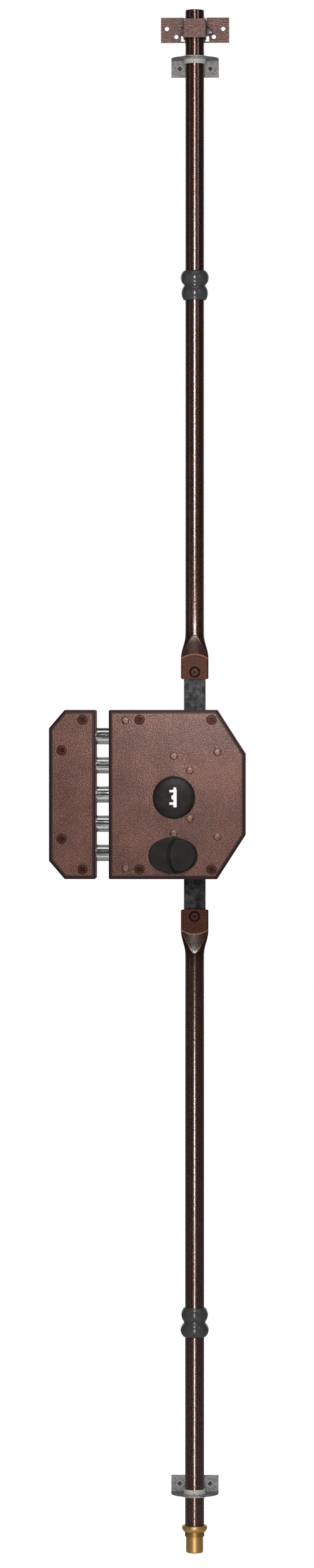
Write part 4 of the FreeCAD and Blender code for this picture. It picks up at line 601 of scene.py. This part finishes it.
# Painted shade in the recesses round the screw and the lug.
tone = paint_recess_shade(tree, tone, recess_shade_black, distance=0.003, closed=0.45, open_air=0.9)
drive(tree, shader, Base_Color=tone, Normal=bump(tree, dents["Height"], 0.00010, strength=0.4))
gloss = spread(tree, dents["Flakes"], 0.0, 1.0, 0.24, 0.32)
drive(tree, shader, Roughness=calculate(tree, "ADD", gloss, calculate(tree, "MULTIPLY", lug, 0.34)))
on_tube = spread(tree, past_crease, 0.010, 0.030)
drive(tree, shader, Metallic=calculate(tree, "MULTIPLY", on_tube, 0.75))
shader.inputs["Specular IOR Level"].default_value = 0.12
lacquer = spread(tree, dents["Height"], 0.25, 0.65, 0.2, 1.0)
drive(tree, shader, Coat_Weight=calculate(tree, "MULTIPLY", lacquer, on_tube))
shader.inputs["Coat Roughness"].default_value = 0.19
shader.inputs["Coat IOR"].default_value = 2.0


def smooth(low, high, value):
    """From 0 at low to 1 at high, with a soft start and end."""
    share = min(max((value - low) / (high - low), 0.0), 1.0)
    return share * share * (3 - 2 * share)


def softer_least(first, second, round_over):
    """The least of two values, rounded over where they cross."""
    mix = min(max(0.5 + (second - first) / (2 * round_over), 0.0), 1.0)
    return second + (first - second) * mix - round_over * mix * (1 - mix)


LUG_HALF_WIDE, LUG_HALF_THICK, LUG_SQUARE, STEP = 0.0132, 0.002, 14, 0.0007
SWELL_THINNER, SWELL_SQUARER, SWELL_ROUNDED = 0.25, 1.8, 0.0008
LIP_HIGH, DIMPLE_RIM_HIGH, RIDGE_WIDE = 0.0003, 0.00025, 0.0006
LUG_CORNER, RING_STEP, TUBE_BORE, SIDES = 0.0015, 0.0004, 0.0076, 96


def half_depth(across, up, half_wide, radius):
    """How far the pressed end stands in front of the rod's middle plane."""
    inward = min(abs(across) / half_wide, 1.0)
    pressing = smooth(ROUND_FROM, FLAT_FROM, up)
    tube = math.sqrt(1 - inward ** (2 + SWELL_SQUARER * pressing))
    tube *= radius * (1 - SWELL_THINNER * pressing)
    rounded_sides = math.sqrt(1 - inward**LUG_SQUARE)
    lug = LUG_HALF_THICK * rounded_sides
    arch = CREASE_TOP - CREASE_RADIUS + math.sqrt(max(CREASE_RADIUS**2 - across**2, 0.0))
    slope = (radius - LUG_HALF_THICK - STEP) / (ROUND_FROM - CREASE_TOP)
    ramp = LUG_HALF_THICK + STEP + max(up - arch, 0.0) * slope
    swell = softer_least(tube, ramp, SWELL_ROUNDED)
    lip = LIP_HIGH * math.exp(-(((up - arch) / RIDGE_WIDE) ** 2)) * rounded_sides
    flat = lug + (swell - lug) * smooth(arch - 0.0004, arch + 0.0008, up) + lip
    away = math.hypot(across, up - SCREW_UP)
    dimple = DIMPLE_DEEP * smooth(DIMPLE_RADIUS, DIMPLE_RADIUS - 0.0014, away)
    rim = DIMPLE_RIM_HIGH * math.exp(-(((away - DIMPLE_RADIUS) / RIDGE_WIDE) ** 2))
    return max(flat - dimple + rim * (inward < 0.9), 0.0)


def pressed_rod(name, upright, tip):
    """One rod's mesh: rings from the lug up the tube, over its rim and down into its bore."""
    low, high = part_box(name)
    middle_x, middle_y = (low.x + high.x) / 2, (low.y + high.y) / 2
    radius = (high.y - low.y) / 2
    start = min(abs(low.z), abs(high.z))
    turns = [2 * math.pi * i / SIDES for i in range(SIDES)]
    rings = []
    for level in range(int((ROUND_FROM - start) / RING_STEP)):
        up = start + level * RING_STEP
        half_wide = radius + (LUG_HALF_WIDE - radius) * smooth(ROUND_FROM, FLAT_FROM, up)
        if up < start + LUG_CORNER:
            inset = start + LUG_CORNER - up
            half_wide += math.sqrt(max(LUG_CORNER**2 - inset**2, 0.0)) - LUG_CORNER
        ring = []
        for angle in turns:
            across = half_wide * math.cos(angle)
            side = math.copysign(1.0, math.sin(angle))
            ring.append((across, side * half_depth(across, up, half_wide, radius), up))
        rings.append(ring)
    tube = [(radius, ROUND_FROM + 0.001), (radius, tip - 0.0006), (radius - 0.0002, tip - 0.0002)]
    tube += [(radius - 0.0006, tip), (TUBE_BORE, tip), (TUBE_BORE, tip - 0.02)]
    rings += [[(r * math.cos(a), r * math.sin(a), up) for a in turns] for r, up in tube]
    points = [(x + middle_x, y + middle_y, z * upright) for ring in rings for x, y, z in ring]
    faces = []
    for start_of_ring in range(0, len(points) - SIDES, SIDES):
        for i in range(SIDES):
            this, following = start_of_ring + i, start_of_ring + (i + 1) % SIDES
            faces.append((this, following, following + SIDES, this + SIDES))
    faces += [tuple(range(SIDES)), tuple(len(points) - 1 - i for i in range(SIDES))]
    mesh = bpy.data.meshes.new(f"{name}_skin")
    mesh.from_pydata(points, [], faces)
    build = bmesh.new()
    build.from_mesh(mesh)
    bmesh.ops.remove_doubles(build, verts=build.verts, dist=0.000005)
    bmesh.ops.recalc_face_normals(build, faces=build.faces)
    build.to_mesh(mesh)
    build.free()
    place_piece(f"{name}_skin", mesh, [name], rod_paint, turn=50.0)


pressed_rod("upper_rod", 1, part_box("upper_rod")[1].z)
pressed_rod("lower_rod", -1, -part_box("lower_rod")[0].z)
dress("upper_rod_plug", rod_paint)
dress("lower_rod_nose", rod_paint)

# Top strike: a plate with two ears and a bridge bent over the rod's end, from steel sheet in the
# same hammer paint, sprayed lighter over a pink primer.
strike_paint, tree, shader = start_material("top_strike_paint")
primer_dark, primer_light = (0.13, 0.062, 0.052, 1), (0.20, 0.105, 0.090, 1)
primer_flake, recess_shade_black = (0.36, 0.25, 0.22, 1), (0.012, 0.005, 0.004, 1)
dents = use_group(tree, hammer, Dents_per_metre=700.0)
tone = blend_colours(tree, dents["Cloud"], primer_dark, primer_light)
shown = calculate(tree, "MULTIPLY", dents["Flakes"], 0.35)
tone = blend_colours(tree, shown, tone, primer_flake)
# Painted shade in the crevices beside the bridge and the ears.
tone = paint_recess_shade(tree, tone, recess_shade_black, distance=0.005, closed=0.45, open_air=0.9)
drive(tree, shader, Base_Color=tone, Normal=bump(tree, dents["Height"], 0.0004, strength=0.7))
drive(tree, shader, Roughness=spread(tree, dents["Cloud"], 0.2, 0.8, 0.30, 0.42))
for name in ("top_strike_plate", "top_strike_bridge"):
    dress(name, strike_paint, eased=0.0003)

# Rod guides: angles bent from galvanised sheet, with coarse grey spangle. Their screws are pan
# heads of the same finish with a square drive.
galvanised, tree, shader = start_material("galvanised_steel")
zinc_shade, zinc_light = (0.050, 0.052, 0.055, 1), (0.28, 0.29, 0.29, 1)
spangle_light = (0.55, 0.55, 0.55, 1)
place = object_place(tree)
crystals = {"Vector": place, "Scale": 700.0}
spangle = add_node(tree, "ShaderNodeTexVoronoi", crystals, feature="F1").outputs["Color"]
picked = add_node(tree, "ShaderNodeSeparateColor", {"Color": spangle}).outputs["Red"]
blur = noise(tree, place, scale=900.0, detail=4.0, roughness=0.65)
tone = blend_colours(tree, spread(tree, blur, 0.36, 0.64), zinc_shade, zinc_light)
tone = blend_colours(tree, calculate(tree, "MULTIPLY", picked, 0.3), tone, spangle_light)
drive(tree, shader, Base_Color=tone, Roughness=spread(tree, blur, 0.2, 0.8, 0.4, 0.65))
drive(tree, shader, Normal=bump(tree, blur, 0.00016, strength=0.6))
shader.inputs["Metallic"].default_value = 0.45
for name in ("upper_guide", "lower_guide"):
    dress(name, galvanised, eased=0.0003)

screw_steel, tree, shader = start_material("galvanised_screw_steel")
head_shade, head_light = (0.09, 0.09, 0.09, 1), (0.36, 0.37, 0.37, 1)
drive_shade_black = (0.012, 0.012, 0.012, 1)
DRIVE_SHADE_BEGINS, DRIVE_SHADE_FULL = -0.0015, -0.0009
place = add_node(tree, "ShaderNodeTexCoord").outputs["Object"]
backward = add_node(tree, "ShaderNodeSeparateXYZ", {"Vector": place}).outputs["Y"]
blur = noise(tree, place, scale=700.0, detail=4.0, roughness=0.65)
tone = blend_colours(tree, blur, head_shade, head_light)
# Painted shade in the square drive, which lies deeper than the head's face.
tone = blend_colours(tree, spread(tree, backward, DRIVE_SHADE_BEGINS, DRIVE_SHADE_FULL), tone, drive_shade_black)
drive(tree, shader, Base_Color=tone, Roughness=spread(tree, blur, 0.2, 0.8, 0.35, 0.6))
shader.inputs["Metallic"].default_value = 0.3
dress("guide_screws", screw_steel, eased=0.00015)

# Bushes: rings moulded from undyed nylon and slit on one side, so that they spring into the holes
# of the guides.
nylon, tree, shader = start_material("natural_nylon")
nylon_shade, nylon_light = (0.46, 0.48, 0.47, 1), (0.60, 0.61, 0.59, 1)
haze = noise(tree, object_place(tree), scale=200.0, detail=3.0)
tone = blend_colours(tree, haze, nylon_shade, nylon_light)
drive(tree, shader, Base_Color=tone, Roughness=spread(tree, haze, 0.2, 0.8, 0.35, 0.5))
for name in ("upper_guide_bush", "lower_guide_bush"):
    dress(name, nylon, eased=0.0002)

# Two-bead guides: sleeves with two round beads, die cast and stove enamelled a glossy dark grey,
# and screwed to the leaf from behind.
enamel, tree, shader = start_material("gunmetal_enamel")
enamel_shade, enamel_light = (0.045, 0.046, 0.049, 1), (0.070, 0.072, 0.076, 1)
place = object_place(tree)
cloud = noise(tree, place, scale=180.0, detail=4.0)
peel = noise(tree, place, scale=700.0, detail=1.0)
tone = blend_colours(tree, cloud, enamel_shade, enamel_light)
drive(tree, shader, Base_Color=tone, Roughness=spread(tree, cloud, 0.2, 0.8, 0.16, 0.24))
drive(tree, shader, Normal=bump(tree, peel, 0.00003, strength=0.3))
for name in ("upper_bead_guide", "lower_bead_guide"):
    dress(name, enamel)

# Floor socket: turned from yellow brass bar with fine tool marks round it, and pressed into a hole
# in the floor. A darker brown band runs below its lip.
yellow_brass, tree, shader = start_material("yellow_brass")
brass_shade, brass_light = (0.60, 0.34, 0.12, 1), (0.80, 0.50, 0.20, 1)
band_brown = (0.32, 0.17, 0.05, 1)
BAND_FOOT, BAND_TOP, BAND_SOFT = -0.7138, -0.7086, 0.0006
place = add_node(tree, "ShaderNodeTexCoord").outputs["Object"]
level = add_node(tree, "ShaderNodeSeparateXYZ", {"Vector": place}).outputs["Z"]
ring = noise(tree, object_place(tree, (1, 1, 30)), scale=90.0, detail=3.0)
blotch = noise(tree, place, scale=420.0, detail=4.0)
past_foot = spread(tree, level, BAND_FOOT, BAND_FOOT + BAND_SOFT)
past_top = spread(tree, level, BAND_TOP, BAND_TOP + BAND_SOFT)
band = calculate(tree, "SUBTRACT", past_foot, past_top)
tone = blend_colours(tree, blotch, brass_shade, brass_light)
tone = blend_colours(tree, calculate(tree, "MULTIPLY", band, 0.7), tone, band_brown)
drive(tree, shader, Base_Color=tone, Roughness=spread(tree, blotch, 0.2, 0.8, 0.34, 0.5))
drive(tree, shader, Normal=bump(tree, ring, 0.00004, strength=0.5))
shader.inputs["Metallic"].default_value = 0.85
dress("floor_socket", yellow_brass)

# Keyhole rose and inner slide: moulded from black plastic with a fine spark-eroded skin, and held
# in openings of the case cover.
black_plastic, tree, shader = start_material("black_plastic")
plastic_shade, plastic_light = (0.008, 0.0070, 0.0062, 1), (0.019, 0.0166, 0.0150, 1)
recess_shade_black = (0.0015, 0.0013, 0.0012, 1)
place = object_place(tree)
skin = noise(tree, place, scale=2600.0, detail=2.0)
dust = noise(tree, place, scale=90.0, detail=5.0, roughness=0.65)
tone = blend_colours(tree, spread(tree, dust, 0.35, 0.8), plastic_shade, plastic_light)
# Painted shade in recesses, such as the groove beside the slide's pad.
tone = paint_recess_shade(tree, tone, recess_shade_black, distance=0.004, closed=0.55, open_air=0.95)
drive(tree, shader, Base_Color=tone, Roughness=spread(tree, dust, 0.2, 0.8, 0.42, 0.56))
drive(tree, shader, Normal=bump(tree, skin, 0.00006, strength=0.6))
shader.inputs["Specular IOR Level"].default_value = 0.15
for name in ("keyhole_rose", "slide_base", "slide_pad"):
    dress(name, black_plastic, eased=0.0003)

# Studio: a pale floor under the hung lock, a white surround, and soft lamps in front of it. The
# camera sees the surround white, metal mirrors that white only from behind the lock, and the room
# itself lights the lock faintly.
floor_mesh = bpy.data.meshes.new("studio_floor")
reach, drop = 14.0, -0.95
corners = [(-reach, -reach, drop), (reach, -reach, drop), (reach, reach, drop), (-reach, reach, drop)]
floor_mesh.from_pydata(corners, [], [(0, 1, 2, 3)])
floor = bpy.data.objects.new("studio_floor", floor_mesh)
bpy.context.scene.collection.objects.link(floor)
floor_paint, tree, shader = start_material("studio_floor_paint")
shader.inputs["Base Color"].default_value = (0.86, 0.86, 0.86, 1)
shader.inputs["Roughness"].default_value = 0.9
glow = add_node(tree, "ShaderNodeEmission", {"Color": (1, 1, 1, 1), "Strength": 0.96})
seen = add_node(tree, "ShaderNodeLightPath").outputs["Is Camera Ray"]
lit = add_node(tree, "ShaderNodeAddShader", {0: shader.outputs[0], 1: glow.outputs[0]})
chosen = add_node(tree, "ShaderNodeMixShader", {0: seen, 1: shader.outputs[0], 2: lit.outputs[0]})
tree.links.new(chosen.outputs[0], tree.nodes["Material Output"].inputs["Surface"])
floor_mesh.materials.append(floor_paint)

ROOM_LIGHT, ROOM_IN_METAL = 0.12, 0.035
surround = bpy.data.worlds.new("studio_surround")
surround.use_nodes = True
bpy.context.scene.world = surround
tree = surround.node_tree
direction = add_node(tree, "ShaderNodeTexCoord").outputs["Generated"]
backward = add_node(tree, "ShaderNodeSeparateXYZ", {"Vector": direction}).outputs["Y"]
behind = spread(tree, backward, 0.5, 0.9)
rays = add_node(tree, "ShaderNodeLightPath").outputs
mirrored = calculate(tree, "MAXIMUM", rays["Is Glossy Ray"], rays["Is Transmission Ray"])
reflected = calculate(tree, "MULTIPLY", mirrored, behind)
white_seen = calculate(tree, "MAXIMUM", rays["Is Camera Ray"], reflected)
levels = {0: mirrored, 2: ROOM_LIGHT, 3: ROOM_IN_METAL}
level = add_node(tree, "ShaderNodeMix", levels, data_type="FLOAT").outputs[0]
room = add_node(tree, "ShaderNodeBackground", {"Color": (0.95, 0.97, 1, 1), "Strength": level})
white = add_node(tree, "ShaderNodeBackground", {"Color": (1, 1, 1, 1), "Strength": 1.0})
both = {0: white_seen, 1: room.outputs[0], 2: white.outputs[0]}
both = add_node(tree, "ShaderNodeMixShader", both).outputs[0]
tree.links.new(both, tree.nodes["World Output"].inputs["Surface"])


def turn_to(azimuth, elevation, distance, target):
    """A place round a target and the turn that looks at it. Azimuth 0 looks along +Y."""
    a, e = math.radians(azimuth), math.radians(elevation)
    away = (math.sin(a) * math.cos(e), -math.cos(a) * math.cos(e), math.sin(e))
    place = tuple(t + distance * d for t, d in zip(target, away))
    return place, (math.pi / 2 - e, 0, a)


def lamp(name, azimuth, elevation, distance, size, power, target=(0, 0, 0), tint=(1, 1, 1)):
    """A soft rectangular lamp that faces a target. size is (width, height)."""
    data = bpy.data.lights.new(name, "AREA")
    data.shape = "RECTANGLE"
    data.size, data.size_y = size
    data.energy, data.color = power, tint
    thing = bpy.data.objects.new(name, data)
    thing.location, thing.rotation_euler = turn_to(azimuth, elevation, distance, target)
    thing.visible_camera = False
    bpy.context.scene.collection.objects.link(thing)


lamp("key_window", 0, 14, 0.22, (0.12, 0.07), 0.44, (0.03, -0.03, 0.075))
lamp("upper_window", 0, 0, 1.0, (0.13, 0.38), 4.6, (0.018, -0.02, 0.44))
lamp("upper_end_window", 0, 0, 1.0, (0.15, 0.22), 1.5, (0.018, -0.02, 0.77), (1.0, 0.78, 0.68))
lamp("lower_window", 0, 0, 1.0, (0.13, 0.19), 1.9, (0.018, -0.02, -0.41))
lamp("lower_end_window", 0, 0, 1.0, (0.15, 0.28), 2.2, (0.018, -0.02, -0.72), (1.0, 0.90, 0.84))
lamp("right_window", 42, 24, 3.0, (0.6, 1.1), 3.5)
lamp("top_window", 10, 68, 2.6, (1.6, 1.2), 6.0)
lamp("left_fill", -60, 10, 3.2, (1.2, 1.8), 1.5)

FRAME_HEIGHT, DISTANCE, FRAME_MIDDLE = 1.5026, 5.0, (-0.018, -0.020, 0.010)
camera_data = bpy.data.cameras.new("camera")
camera_data.sensor_fit = "VERTICAL"
camera_data.sensor_height = 36.0
camera_data.lens = camera_data.sensor_height * DISTANCE / FRAME_HEIGHT
camera = bpy.data.objects.new("camera", camera_data)
camera.location, camera.rotation_euler = turn_to(1.8, 0.9, DISTANCE, FRAME_MIDDLE)
bpy.context.scene.collection.objects.link(camera)
bpy.context.scene.camera = camera
bpy.context.scene.view_settings.view_transform = "Standard"
